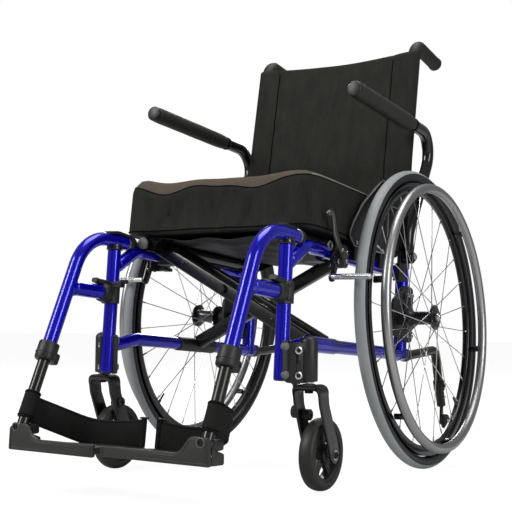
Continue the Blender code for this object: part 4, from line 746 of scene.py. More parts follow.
# Each cloth's last value is the strength of its painted fold shade, strongest on the nylon for the cushion's
# creased front.
NYLON = cloth_finish("charcoal_nylon", (0.006, 0.0064, 0.005), (0.03, 0.032, 0.0255), 2600, 0.6, 0.78, 0.2,
                     painted_fold_shade=0.85)
SLING_CLOTH = cloth_finish("black_sling", (0.0035, 0.0035, 0.0035), (0.012, 0.012, 0.011), 2200, 0.3, 0.55,
                           0.3)
SPACER_MESH = cloth_finish("brown_spacer_mesh", (0.016, 0.013, 0.01), (0.19, 0.15, 0.118), 1500, 1, 0.9, 0.15,
                           painted_fold_shade=0.1)
WEBBING = cloth_finish("black_webbing", (0.004, 0.0042, 0.0038), (0.016, 0.017, 0.015), 1800, 0.9, 0.7, 0.15)
# Dark thread for seams and stitching; on the back cloth it is widened to paint the shade in the seams too.
THREAD_AND_SEAM_SHADE = cloth_finish("seam_thread_and_shade", (0.0015, 0.0015, 0.0015), (0.004, 0.004, 0.004), 3000, 0.3, 0.8, 0.05)
# Light grey: on the cushion a painted highlight along its left top edge; on the side guard the bead round its
# edge.
LIGHT_EDGE_GREY = hard_finish("light_edge_grey", (0.22, 0.22, 0.21), 0.5, 0, 900, 0.1, 0.1)


# Rear wheels
def wheel_axes(side):
    """Centre, outward axle direction, and two directions in a wheel's plane: upward, and
    rearward on the left or forward on the right."""
    centre = floor_place(side * WHEEL_TRACK / 2, 0, AXLE_Z)
    out = np.array([side * np.cos(CAMBER), 0, np.sin(CAMBER)])
    up = np.array([-side * np.sin(CAMBER), 0, np.cos(CAMBER)])
    return centre, out, up, np.array([0, side * 1.0, 0])


def tyre_and_rim(side, tag):
    """Tyre: a round section whose crown is the grey tread with a shallow groove, and whose
    flanks are the dark sidewalls, a little lower; rim: a deep trough section with its valve."""
    centre, out, up, back = wheel_axes(side)
    major = WHEEL_RADIUS - TYRE_SECTION
    flank = TYRE_SECTION - SIDEWALL_STEP

    def band(turn, reach, finish):
        profile = np.column_stack([major + reach * np.cos(turn), reach * np.sin(turn)])
        return turned(profile, centre, out, finish, WHEEL_SIDES, caps=False)

    crown = np.radians(np.linspace(-TREAD_EDGE, TREAD_EDGE, 26))
    walls = np.radians(np.linspace(TREAD_EDGE, 360 - TREAD_EDGE, 26))
    groove = 0.0005 * np.exp(-(np.degrees(crown) % 360 / 4.0) ** 2)
    surfaces = [band(crown, TYRE_SECTION - groove, TREAD), band(walls, flank, SIDEWALL)]
    for edge in (-TREAD_EDGE, TREAD_EDGE):
        surfaces.append(band(np.radians(edge), np.array([TYRE_SECTION, flank]), SIDEWALL))
    piece("tyre_skin_" + tag, surfaces, "rear_wheel_" + tag, ["tyre_" + tag])

    outer, inner, half = RIM_OUTER, RIM_INNER, RIM_HALF
    section = outline([(outer, -half), (outer, half), (outer - 0.01, half), (inner + 0.002, half * 0.55),
                       (inner, 0), (inner + 0.002, -half * 0.55), (outer - 0.01, -half)],
                      [0.001, 0.001, 0.003, 0.003, 0.006, 0.003, 0.003], 3)
    way = up * np.cos(VALVE_TURN) + back * np.sin(VALVE_TURN)
    foot = centre + way * (inner + 0.001)
    valve = pipe([foot - way * drop for drop in (0, 0.008, 0.009, 0.026)], 0.003, BLACK_PAINT, 12, out,
                 [1, 1, 0.75, 0.7])
    dress("rim_" + tag, "shell", [hoop(section, centre, out, RIM_BLACK, WHEEL_SIDES), valve],
          "rear_wheel_" + tag)


def handrim(side, tag):
    """Hand rim: a ring of round section on standoffs, each a short bar with a screw."""
    centre, out, up, back = wheel_axes(side)
    ring = circle(HANDRIM_TUBE, 20) + (HANDRIM_RADIUS, HANDRIM_OFFSET)
    standoff = rounded_rectangle(0.013, 0.0075, 0.003)
    surfaces = [hoop(ring, centre, out, HANDRIM_GREY, WHEEL_SIDES)]
    for k in range(TAB_COUNT):
        angle = 2 * np.pi * (k + 0.25) / TAB_COUNT
        way = up * np.cos(angle) - back * np.sin(angle)
        along = up * np.sin(angle) + back * np.cos(angle)
        foot = centre + way * HANDRIM_RADIUS
        start, end = foot + out * (RIM_HALF + 0.0004), foot + out * (HANDRIM_OFFSET - HANDRIM_TUBE * 0.6)
        surfaces += [swept([start, (start + end) / 2, end], standoff, BLACK_PAINT, along),
                     screw(end + out * 0.001 - way * 0.0045, -way, ZINC, 0.0032, 0.002)]
    piece("handrim_ring_" + tag, surfaces, "rear_wheel_" + tag, ["handrim_" + tag])


def hub(side, tag):
    """Waisted hub with two flanges, and crossed spokes: each runs from a flange, swept forwards
    or back, to its place in the rim, with a nipple at the rim and a head on the flange."""
    centre, out, up, back = wheel_axes(side)
    flange = FLANGE_RADIUS
    half = [(AXLE_RADIUS + 0.0003, HUB_HALF + 0.004), (0.0105, HUB_HALF + 0.004), (0.0118, HUB_HALF + 0.0028),
            (0.012, HUB_HALF), (flange - 0.002, HUB_HALF), (flange, HUB_HALF - 0.001),
            (flange, HUB_HALF - 0.004), (flange - 0.0012, HUB_HALF - 0.005), (0.017, HUB_HALF - 0.0062),
            (HUB_WAIST + 0.001, HUB_HALF - 0.0105), (HUB_WAIST, HUB_HALF - 0.016)]
    surfaces = [hoop(half + [(r, -x) for r, x in reversed(half)], centre, out, BLACK_PAINT)]
    number = np.arange(SPOKE_COUNT)
    face = np.where(number % 2 == 1, 1.0, -1.0)
    lead = np.where((number // 2) % 2 == 1, 1.0, -1.0)
    rim_turn = 2 * np.pi * (number + 0.5) / SPOKE_COUNT
    hub_turn = rim_turn + lead * SPOKE_SWEEP
    hub_way, rim_way = [np.cos(t)[:, None] * up + np.sin(t)[:, None] * back for t in (hub_turn, rim_turn)]
    start = centre + hub_way * (flange - 0.0035) + (face * (HUB_HALF - 0.0025) + lead * 0.0014)[:, None] * out
    end = centre + rim_way * (RIM_INNER - 0.0004) + (face * 0.0012 + lead * 0.001)[:, None] * out
    for a, b in zip(start, end):
        ahead = unit(b - a)
        surfaces.append(pipe([a, b - ahead * 0.012, b - ahead * 0.0115, b], SPOKE_RADIUS, SPOKE_STEEL, 6, out,
                             [1, 1, 1.8, 1.8], 0))
    for a, f in zip(start, face):
        surfaces.append(knob([(0.0021, 0), (0.0018, 0.0012)], a, out * f, SPOKE_STEEL, 8, 0.0004))
    dress("hub_and_spokes_" + tag, "set", surfaces, "rear_wheel_" + tag)


# Castors
def fork_strap(stem):
    """Forged strap bent into a U over the roller. Its front and rear edges are lines of the
    height, so it leans back towards the axle, each tip is a half circle, and the crown is thicker."""
    middle = (FORK_INSIDE + FORK_LEG) / 2
    top = FORK_CROWN_TOP - FORK_LEG / 2
    tip = CASTOR_RADIUS - 0.0145
    corners = [(-middle, 0, tip), (-middle, 0, top), (middle, 0, top), (middle, 0, tip)]
    line = even_path(rounded(corners, [0.0095, 0.0095]), 110)
    z = line[:, 2]
    front = np.interp(z, (tip, CASTOR_RADIUS, FORK_BLADE_TOP, top), (0.033, 0.031, -0.006, -0.012))
    rear = np.interp(z, (tip, CASTOR_RADIUS, 0.085, FORK_BLADE_TOP, top),
                     (0.06, 0.0615, 0.057, 0.025, 0.02))
    low = np.clip((z - tip) / 0.0135, 0, 1)
    depth = (rear - front) / 2 * np.sqrt(np.clip(1 - (1 - low) ** 2, 0.015, 1))
    out = unit(np.gradient(line, axis=0))[:, ::-1] * (1, 0, -1)
    section = rounded_rectangle(2.0, 2.0, 0.28)
    thick = FORK_LEG / 2 * np.where(np.abs(section[:, 0]) > 0.985, 0.65, 1.0)
    crown = 1 + 0.9 * np.clip((z - top + 0.016) / 0.014, 0, 1) ** 2
    proud = crown[:, None] * section[:, 1] * thick
    points = (stem + line)[:, None] + out[:, None] * proud[..., None]
    points[..., 1] += ((rear + front) / 2)[:, None] + section[None, :, 0] * depth[:, None]
    return lattice(points, BLACK_PAINT)


def castor_fork(side, tag):
    """Forged fork with dimples on its blades, a ring and bolt at each end of the axle, a boss at
    the inboard blade's top, and the stem with its collar and nut."""
    stem = floor_place(side * CASTOR_X, CASTOR_STEM_V, 0)
    half = FORK_INSIDE / 2
    outer = half + FORK_LEG
    axle = stem + (0, CASTOR_TRAIL, CASTOR_RADIUS)
    surfaces = [fork_strap(stem)]
    for way in (-X_WAY, X_WAY):
        for share in (0.12, 0.24, 0.36):
            y = CASTOR_TRAIL + (0.014 - CASTOR_TRAIL) * share
            z = CASTOR_RADIUS + (FORK_BLADE_TOP - CASTOR_RADIUS) * share
            spot = stem + way * outer + (0, y, z)
            surfaces.append(knob([(0.0038, 0), (0.0034, 0.0003)], spot, way, RIM_BLACK, 14, -0.0001))
        surfaces += [washer(0.006, 0.0086, 0.0009, axle + way * outer, way, ZINC),
                     screw(axle + way * outer, way, BLACK_SCREW, 0.0064, 0.0042)]
    boss = stem + (-side * half, 0.024, 0.1315)
    for way, reach in ((side, 0.013), (-side, FORK_LEG + 0.0035)):
        surfaces.append(knob([(0.01, 0), (0.01, reach - 0.0014), (0.0084, reach), (0.004, reach),
                              (0.0036, reach - 0.002)], boss, (way, 0, 0), MOULDING, 24))
    nut = [(0.0078, 0), (0.0085, -0.001), (0.0085, -0.006), (0.0075, -0.007)]
    surfaces += [
        screw(boss + (side * 0.0112, 0, 0), (side, 0, 0), BLACK_SCREW, 0.0046, 0.0024),
        knob([(0.01, FORK_CROWN_TOP - 0.004), (0.01, FORK_CROWN_TOP + 0.0035)], stem, UP, MOULDING, 28),
        pipe([stem + (0, 0, FORK_CROWN_TOP), stem + (0, 0, HOUSING_BOTTOM + 0.002)], 0.006, ZINC, 20),
        pipe([axle - X_WAY * half, axle + X_WAY * half], 0.004, ZINC, 16, REAR),
        knob(nut, stem + (0, 0, FORK_CROWN_TOP - FORK_LEG), UP, BLACK_SCREW, 6),
    ]
    dress("castor_fork_" + tag, "forging", surfaces, "castor_" + tag)


def castor_roller(side, tag):
    """Roller: a rounded tyre on a rim well and a core, joined by five spokes with a dimple each."""
    axle = floor_place(side * CASTOR_X, CASTOR_STEM_V + CASTOR_TRAIL, CASTOR_RADIUS)
    wide = CASTOR_WIDTH / 2
    turn = np.linspace(-0.5, 0.5, 17) * np.pi
    crown = np.column_stack([CASTOR_RADIUS - 0.009 + 0.009 * np.cos(turn) ** 0.7, wide * np.sin(turn)])
    tyre = [*crown, (0.0475, wide * 0.96), (0.0465, wide * 0.8), (0.0465, -wide * 0.8),
            (0.0475, -wide * 0.96)]
    well = [(0.047, -0.0115), (0.047, 0.0115), (0.0425, 0.0115), (0.0415, 0.009), (0.0415, -0.009),
            (0.0425, -0.0115)]
    core = [(0.0043, -0.0145), (0.014, -0.0145), (0.0165, -0.0125), (0.0165, 0.0125), (0.014, 0.0145),
            (0.0043, 0.0145)]
    surfaces = [hoop(tyre, axle, X_WAY, CASTOR_TYRE, 72), hoop(well, axle, X_WAY, MOULDING, 72),
                hoop(core, axle, X_WAY, MOULDING, 40)]
    for k in range(5):
        angle = 2 * np.pi * k / 5 + 0.3
        way = np.array([0, np.cos(angle), np.sin(angle)])
        tangent = np.array([0, -np.sin(angle), np.cos(angle)])
        spoke = axle + np.outer((0.015, 0.03, 0.0425), way)
        spot = axle + way * 0.028 + X_WAY * side * 0.005 + tangent * 0.0005
        surfaces += [swept(spoke, rounded_rectangle(0.0105, 0.015, 0.003), MOULDING, X_WAY, [1.1, 0.9, 1.1]),
                     knob([(0.0022, 0), (0.0018, 0.0004)], spot, X_WAY * side, RIM_BLACK, 12, -0.0001)]
    piece("castor_roller_" + tag + "_wheel", surfaces, "castor_roller_" + tag, ["castor_wheel_" + tag])


def castor_housing(side, tag):
    """Bearing housing bolted beside the front tube: a capped barrel, a plate with two socket
    screws on its face, two domed nuts on the tube, and a split clamp. The right one has a
    front block with two more screws."""
    stem = floor_place(side * CASTOR_X, CASTOR_STEM_V, 0)
    radius, bottom, top = HOUSING_RADIUS, HOUSING_BOTTOM, HOUSING_TOP
    barrel = [(radius - 0.0022, bottom), (radius - 0.0006, bottom + 0.0006), (radius, bottom + 0.002),
              (radius, top - 0.004), (radius - 0.0012, top - 0.0005), (radius - 0.0045, top + 0.0028),
              (radius * 0.4, top + 0.005)]
    middle = (top + bottom) / 2
    low, high = placed(side, [(FRAME_X, FRONT_V, FRONT_BOTTOM_W), (FRAME_X, FRONT_V, FRONT_TOP_W)])
    beside = low + (high - low) * (middle - low[2]) / (high[2] - low[2])
    centre = stem + (0, 0, middle)
    way = unit((centre - beside) * (1, 1, 0))
    square = np.array([-way[1], way[0], 0]) * side
    facing = -square * side
    axes = (way, square, UP)
    near = beside + way * (TUBE_RADIUS + 0.0004)
    span = np.linalg.norm((centre - beside)[:2]) - TUBE_RADIUS - 0.004
    sunk = -UP * HOUSING_SINK
    slot = near + way * (span * 0.46) + sunk
    surfaces = [
        knob(barrel, stem, UP, MOULDING, 40, 0.0006),
        knob([(0.009, 0), (0.009, 0.002)], stem + (0, 0, bottom - 0.0018), UP, ZINC, 30),
        block(near + way * (span / 2 - 0.003) + sunk, (span + 0.006, 0.018, 0.069), MOULDING, axes, 0.0025),
        block(slot + facing * 0.0082, (0.0076, 0.004, 0.032), RIM_BLACK, axes, 0.0015),
    ]
    nut = [(0.0076, -0.002), (0.0076, 0.001), (0.0063, 0.004), (0.0036, 0.0056)]
    for rise in (-HOUSING_BOLT_RISE, HOUSING_BOLT_RISE):
        spot = slot + UP * rise * 0.88
        lean = unit(facing + way * 0.35)
        dome = beside + lean * (TUBE_RADIUS - 0.0004) + UP * rise
        surfaces += [
            screw(spot + facing * 0.0088, facing, ZINC, 0.0076, 0.005),
            knob([(0.0044, 0), (0.0042, 0.0005)], spot + facing * 0.0139, facing, RIM_BLACK, 6, -0.0001),
            screw(spot - facing * 0.0088, -facing, ZINC, 0.0056, 0.0046),
            knob(nut, dome, lean, PLUG_GREY, 24, 0.0006),
        ]
    if side < 0:
        surfaces.append(block(beside + facing * 0.012, (0.024, 0.011, 0.074), MOULDING, axes, 0.003))
        for rise in (-HOUSING_BOLT_RISE, HOUSING_BOLT_RISE):
            surfaces.append(screw(beside + facing * 0.0172 + UP * rise, facing, PLUG_GREY, 0.0068, 0.004))
    line = [beside - UP * 0.034, beside + UP * 0.034]
    clamp, faces, finish = swept(line, circle(TUBE_RADIUS + 0.0028, 28), MOULDING)
    keep = (clamp - beside) @ way
    surfaces.append((clamp - np.outer(np.minimum(keep + 0.0005, 0), way), faces, finish))
    dress("castor_housing_" + tag, "casting", surfaces, side_body(side))


# Side frames
def side_body(side):
    return "left_side" if side > 0 else "right_side"


def weld(side, corner, way, radius=TUBE_RADIUS):
    """Weld bead: a short swelling round a tube where it meets another."""
    steps = np.array([-0.003, -0.0018, 0, 0.0018, 0.003])
    return pipe(placed(side, corner) + np.outer(steps, way), radius, BLUE, 28, X_WAY,
                [0.98, 1.06, 1.1, 1.06, 0.98], 0)


def side_frame(side, tag):
    """Front post, lower and upper rails with their bends, rear post, weld beads, end caps, the
    cane's and the anti-tip tube's collars, and the screws that show."""
    foot_w = LOWER_RAIL_W - TUBE_RADIUS * 0.4
    surfaces = []
    front_post = [(FRONT_V, FRONT_BOTTOM_W), (FRONT_V, FRONT_TOP_W)]
    lower_rail = [(FRONT_V, LOWER_RAIL_W - LOWER_DROP), (LOWER_BEND_V, LOWER_RAIL_W),
                  (RAIL_END_V, LOWER_RAIL_W)]
    upper_rail = [(FRONT_V, GUSSET_W), (GUSSET_V, UPPER_RAIL_W), (REAR_POST_V, UPPER_RAIL_W)]
    rear_post = [(REAR_POST_V, foot_w), (REAR_POST_V, REAR_POST_TOP_W)]
    for corners, radii, radius in ((front_post, [], TUBE_RADIUS), (lower_rail, [0.05], TUBE_RADIUS),
                                   (upper_rail, [0.05], TUBE_RADIUS), (rear_post, [], POST_RADIUS)):
        surfaces.append(bar(side, [(FRAME_X, *corner) for corner in corners], radii, radius, BLUE, 32))
    drop = unit(chair((0, LOWER_BEND_V, LOWER_RAIL_W)) - chair((0, FRONT_V, LOWER_RAIL_W - LOWER_DROP)))
    climb = unit(chair((0, GUSSET_V, UPPER_RAIL_W)) - chair((0, FRONT_V, GUSSET_W)))
    for v, w, way in ((FRONT_V + 0.0135, LOWER_RAIL_W - LOWER_DROP + 0.003, drop),
                      (FRONT_V + 0.0125, GUSSET_W + 0.0095, climb),
                      (REAR_POST_V - 0.015, UPPER_RAIL_W, V_WAY),
                      (REAR_POST_V - 0.015, LOWER_RAIL_W, V_WAY)):
        surfaces.append(weld(side, (FRAME_X, v, w), way))
    bridge = placed(side, (FRAME_X - 0.018, -0.01, (UPPER_RAIL_W + SEAT_RAIL_W) / 2 - 0.004))
    cap = [(POST_RADIUS + 0.0012, 0.004), (POST_RADIUS + 0.0012, 0.0005), (POST_RADIUS + 0.0002, -0.003),
           (POST_RADIUS * 0.7, -0.0042)]
    ring = [(CANE_RADIUS + 0.0003, 0.0), (POST_RADIUS + 0.0016, 0.0), (POST_RADIUS + 0.0016, 0.01),
            (POST_RADIUS - 0.0004, 0.0125), (CANE_RADIUS + 0.0003, 0.0125)]
    collar = [(TIPPER_RADIUS + 0.0003, 0), (TUBE_RADIUS + 0.0014, 0), (TUBE_RADIUS + 0.0014, -0.012),
              (TUBE_RADIUS + 0.0002, -0.0135), (TIPPER_RADIUS + 0.0003, 0.0015)]
    surfaces += [
        block(bridge, (0.032, 0.022, 0.02), BLUE),
        knob([(TUBE_RADIUS - 0.0012, 0), (TUBE_RADIUS - 0.0018, -0.0018)],
             placed(side, (FRAME_X, FRONT_V, FRONT_BOTTOM_W + 0.0002)), W_WAY, MOULDING, 28, -0.0006),
        knob(cap, placed(side, (FRAME_X, REAR_POST_V, foot_w)), W_WAY, MOULDING, 30, -0.0004),
        hoop(ring, placed(side, (FRAME_X, REAR_POST_V, REAR_POST_TOP_W - 0.01)), W_WAY, MOULDING, 30),
    ]
    for v in GUARD_MOUNTS_V:
        spot = placed(side, (FRAME_X - TUBE_RADIUS * 0.98, v, UPPER_RAIL_W))
        surfaces.append(screw(spot, (-side, 0, 0), ZINC, 0.0042, 0.0022))
    for v in (REAR_POST_V - 0.06, -0.3):
        spot = placed(side, (FRAME_X + TUBE_RADIUS * 0.96, v, LOWER_RAIL_W))
        surfaces.append(screw(spot, (side, 0, 0), ZINC, 0.0045, 0.0022))
    surfaces.append(hoop(collar, placed(side, (FRAME_X, RAIL_END_V, LOWER_RAIL_W)), V_WAY, MOULDING, 30))
    dress("side_frame_" + tag, "tubes", surfaces, side_body(side))


def seat_guide(side, tag):
    face = placed(side, (SEAT_RAIL_X - 0.016, -0.298, UPPER_RAIL_W - 0.002))
    rear = placed(side, (SEAT_RAIL_X - 0.006, -0.262, UPPER_RAIL_W - 0.006))
    refined("seat_guide_" + tag, "hook", side_body(side), 0.0014,
            [screw(face, (-side, 0, 0), ZINC, 0.0036, 0.002), screw(rear, V_WAY, ZINC, 0.0036, 0.002)])


def axle_plate(side, tag):
    """Drilled plate with its screws, and the quick-release button in the axle's outer end."""
    centre, out = wheel_axes(side)[:2]
    button = [(0.0085, -0.003), (0.0085, -0.001), (0.0075, 0.0006), (0.0055, 0.001), (0.005, 0.0028),
              (0.0042, 0.0036)]
    extra = [knob(button, centre + out * (HUB_HALF + 0.006), out, ZINC)]
    for w in (-0.034, 0.052):
        for v in (REAR_POST_V - 0.012, REAR_POST_V + 0.01):
            spot = placed(side, (FRAME_X + POST_RADIUS + 0.007, v, w))
            extra.append(screw(spot, (side, 0, 0), ZINC, 0.0048, 0.003))
    refined("axle_plate_" + tag, "casting", side_body(side), 0.0012, extra)


# Back canes, grips and arms
def cane_corners(side):
    """Foot, bend, elbow and handle tip of a cane's middle line."""
    top_v = REAR_POST_V + (HANDLE_W - CANE_BEND_W) * np.tan(CANE_RECLINE) + HANDLE_SHIFT_V
    tip_v = top_v + np.cos(HANDLE_DROP) * HANDLE_LENGTH
    tip_w = HANDLE_W - np.sin(HANDLE_DROP) * HANDLE_LENGTH
    return placed(side, [(FRAME_X, REAR_POST_V, CANE_BOTTOM_W), (FRAME_X, REAR_POST_V, CANE_BEND_W),
                         (FRAME_X, top_v, HANDLE_W), (FRAME_X, tip_v, tip_w)])


def cane_and_grip(side, tag):
    """Bent cane, and the rubber grip over its top: ribs under the hand, a swelling at each end
    of them and a rounded tip."""
    low, bend, elbow, tip = cane_corners(side)
    path = rounded([low, bend, elbow, elbow + (tip - elbow) * 0.93], [0.1, HANDLE_BEND])
    dress("back_cane_" + tag, "tube", [pipe(path, CANE_RADIUS, TUBE_GREY)], side_body(side))

    start = bend + (elbow - bend) * (GRIP_START_W - CANE_BEND_W) / (HANDLE_W - CANE_BEND_W)
    line = rounded([start, elbow, elbow + (tip - elbow) * 1.02], [HANDLE_BEND], np.radians(5))
    straight = np.linspace(0, 1, 90)[1:, None]
    line = np.vstack([line[:-1], line[-2] + (line[-1] - line[-2]) * straight])
    distance = np.r_[0, np.cumsum(np.linalg.norm(np.diff(line, axis=0), axis=1))]
    left = distance[-1] - distance
    ribs = 0.035 * np.cos(distance * 2 * np.pi / 0.0075) * (left < 0.098) * (left > 0.012)
    swell = 1 + 0.1 * bell(left, 0.006, 0.0055) + 0.05 * bell(left, 0.105, 0.004)
    taper = np.clip(distance / 0.006, 0, 1) * 0.06 + 0.94
    close = np.sqrt(np.clip(1 - np.clip((0.006 - left) / 0.0065, 0, 1) ** 2, 0.02, 1))
    grip = pipe(line, GRIP_RADIUS * 0.985, GRIP_RUBBER, 28, X_WAY, (swell + ribs) * taper * close, 0)
    dress("push_grip_" + tag, "skin", [grip], side_body(side))


def armrest(side, tag):
    """Bent arm tube on its pivot boss, a foam pad with a cap on its front and a ring behind, and
    the pivot's bracket."""
    pivot = (ARM_X, ARM_PIVOT_V, ARM_PIVOT_W)
    corners = [pivot, (ARM_X + 0.001, ARM_PIVOT_V - 0.01, ARM_PIVOT_W + 0.042),
               (ARM_X + 0.006, ARM_ELBOW_V - 0.001, PAD_W), (PAD_X, PAD_BACK_V + 0.045, PAD_W),
               (PAD_X, PAD_FRONT_V + 0.014, PAD_W)]
    boss = [(0.0053, -ARM_BOSS_HALF), (0.0125, -ARM_BOSS_HALF), (0.0135, -ARM_BOSS_HALF + 0.001),
            (0.0135, ARM_BOSS_HALF - 0.001), (0.0125, ARM_BOSS_HALF), (0.0053, ARM_BOSS_HALF)]
    surfaces = [bar(side, corners, [0.06, ARM_ELBOW_RADIUS, 0.04], ARM_TUBE_RADIUS, BLACK_PAINT),
                hoop(boss, placed(side, pivot), X_WAY, BLACK_PAINT, 30)]
    dress("arm_tube_" + tag, "bend", surfaces, "arm_" + tag)

    span = PAD_BACK_V - PAD_FRONT_V
    t = np.linspace(0, 1, 60)
    end = np.clip(np.minimum(t, 1 - t) * span / 0.013, 0, 1)
    taper = 0.94 + 0.06 * np.clip(t / 0.1, 0, 1) - 0.1 * np.clip((t - 0.9) / 0.1, 0, 1)
    uneven = 1 + 0.012 * np.sin(t * 19) * np.sin(t * 7 + 1)
    scale = np.sqrt(np.clip(1 - (1 - end) ** 2.4, 0.01, 1)) * uneven * taper
    path = placed(side, np.stack([np.full(60, PAD_X), PAD_FRONT_V + span * t, np.full(60, PAD_W)], 1))
    ring = [(0.0127, 0), (0.0146, 0), (0.0149, 0.002), (0.0142, 0.006), (0.0127, 0.006)]
    cap = [(POLE, -0.004), (0.01, -0.0038), (0.0135, -0.0028), (0.0152, -0.0006), (0.0156, 0.0025),
           (0.015, 0.006), (POLE, 0.006)]
    pad = [pipe(path, PAD_RADIUS * 0.985, PAD_FOAM, 32, X_WAY, scale, 0),
           hoop(ring, placed(side, (PAD_X, PAD_BACK_V + 0.0005, PAD_W)), V_WAY, GRIP_RUBBER, 30),
           turned(cap, placed(side, (PAD_X, PAD_FRONT_V + 0.0035, PAD_W)), V_WAY, CAP_BLACK, 32)]
    dress("arm_pad_" + tag, "foam", pad, "arm_" + tag)

    outer = placed(side, (ARM_X + ARM_BOSS_HALF + 0.004, ARM_PIVOT_V, ARM_PIVOT_W))
    refined("arm_bracket_" + tag, "casting", side_body(side), 0.0012,
            [screw(outer, (side, 0, 0), ZINC, 0.0066, 0.0032)])


def side_guard(side, tag):
    """Thin black guard with a light bead round its edge, a raised line inside that, and the two
    brackets that hold it on the rail."""
    ring = outline([(GUARD_FRONT_V + 0.046, GUARD_BOTTOM_W - 0.004), (GUARD_BACK_V, GUARD_BOTTOM_W),
                    (GUARD_BACK_V - 0.004, GUARD_TOP_W + 0.03), (GUARD_BACK_V - 0.036, GUARD_TOP_W + 0.03),
                    (-0.1867, 0.2093), (-0.224, 0.167), (GUARD_FRONT_V + 0.017, GUARD_BOTTOM_W + 0.016)],
                   [0.012, 0.01, 0.03, 0.03, 0.12, 0.1, 0.014], 8)
    face = GUARD_X + GUARD_THICK
    surfaces = [plate(ring, upright_place(side), GUARD_X, face, MOULDING, 0.0009)]
    for proud, depth, radius, finish in ((0.0004, 0.0022, 0.0013, LIGHT_EDGE_GREY), (0.0002, 0.015, 0.0009, MOULDING)):
        line = placed(side, np.column_stack([np.full(len(ring), face + proud), inset(ring, depth)]))
        surfaces.append(pipe(np.vstack([line, line[:1]]), radius, finish, 8, X_WAY, None, 0))
    bracket_w = (UPPER_RAIL_W + GUARD_BOTTOM_W) / 2 + 0.004
    for v in GUARD_MOUNTS_V:
        middle = placed(side, (FRAME_X + TUBE_RADIUS + 0.0043, v, bracket_w))
        surfaces += [block(middle, (0.0078, 0.017, 0.046), MOULDING),
                     screw(placed(side, (face, v, GUARD_BOTTOM_W + 0.006)), (side, 0, 0), ZINC, 0.004, 0.002)]
    dress("side_guard_" + tag, "panel", surfaces, side_body(side))


def wheel_lock(side, tag):
    """Push lock: body clamped to the rail, forged S-shaped lever with an eye, and a link with the
    knurled bar that meets the tyre."""
    out = X_WAY * side
    far = LOCK_PLATE_X + LOCK_PLATE_THICK
    extra = []
    for spot, proud in zip((LEVER_PIVOT, SHOE_PIVOT, *LOCK_BOLTS), (0.0088, 0.0088, 0, 0)):
        extra.append(screw(placed(side, (far + proud, *spot)), out, ZINC, 0.0042, 0.0024))
    refined("lock_body_" + tag, "casting", side_body(side), 0.001, extra)

    layer = far + 0.0003
    bend = rounded([(layer + 0.01, v, w) for v, w in LEVER_LINE], [0.02, 0.02, 0.016, 0.01, 0.008])
    bend = placed(side, even_path(bend, 80))
    t = np.linspace(0, 1, 80)
    swell = 0.78 + 0.3 * bell(t, 0.2, 0.1) + 0.25 * bell(t, 0.52, 0.16)
    tip = [(POLE, -0.0045), (0.004, -0.0042), (0.0052, -0.002), (0.0052, 0.002), (0.004, 0.0042),
           (POLE, 0.0045)]
    surfaces = [swept(bend, rounded_rectangle(0.0062, 0.0125, 0.0022), STEEL_DARK, X_WAY, swell),
                turned(tip, bend[-1], X_WAY, STEEL_DARK, 20)]
    for share, size in ((0.1, 0.004), (0.3, 0.0034)):
        surfaces.append(screw(bend[int(share * 79)] + out * 0.003, out, ZINC, size, 0.0024))
    turn = np.linspace(0, 2 * np.pi, 33)
    eye = np.column_stack([np.full(33, layer + 0.0098), LEVER_RING[0] + 0.0072 * np.cos(turn),
                           LEVER_RING[1] + 0.0072 * np.sin(turn)])
    boss = [(0.004, 0), (0.0098, 0), (0.01, 0.001), (0.01, 0.007), (0.009, 0.008), (0.004, 0.008)]
    surfaces += [pipe(placed(side, eye), 0.0021, STEEL_DARK, 12, X_WAY, None, 0),
                 hoop(boss, placed(side, (layer, *LEVER_PIVOT)), out, MOULDING, 28)]
    dress("lock_lever_" + tag, "arm", surfaces, "lever_" + tag)

    (top_v, top_w), (low_v, low_w) = SHOE_PIVOT, SHOE_BAR
    link = outline([(top_v - 0.01, top_w + 0.01), (top_v + 0.012, top_w + 0.01),
                    (low_v + 0.009, low_w - 0.009), (low_v - 0.009, low_w - 0.009)], [0.0085] * 4, 6)
    start = layer + 0.001
    t = np.linspace(0, 1, 120)
    path = placed(side, np.column_stack([start + (SHOE_BAR_END_X - start) * t, np.tile(SHOE_BAR, (120, 1))]))
    knurl = 1 + 0.045 * np.sign(np.sin(t * 2 * np.pi * 30)) * ((t > 0.3) & (t < 0.97))
    shoe = [plate(link, upright_place(side), layer, layer + 0.006, BLACK_PAINT, 0.0012),
            pipe(placed(side, [(start, *SHOE_BAR), (SHOE_SLEEVE_X, *SHOE_BAR)]), 0.0072, BLACK_PAINT, 22),
            pipe(path, 0.0054, ZINC, 20, V_WAY, knurl),
            screw(path[-1], out, ZINC, 0.005, 0.0015)]
    dress("lock_shoe_" + tag, "bar", shoe, "shoe_" + tag)


# Legrests
def hanger_line(distance):
    """Point on the slanted part of the hanger, a distance down from the collar's middle."""
    return np.array([FRAME_X, COLLAR_V - np.sin(HANGER_ANGLE) * distance,
                     COLLAR_W - np.cos(HANGER_ANGLE) * distance])


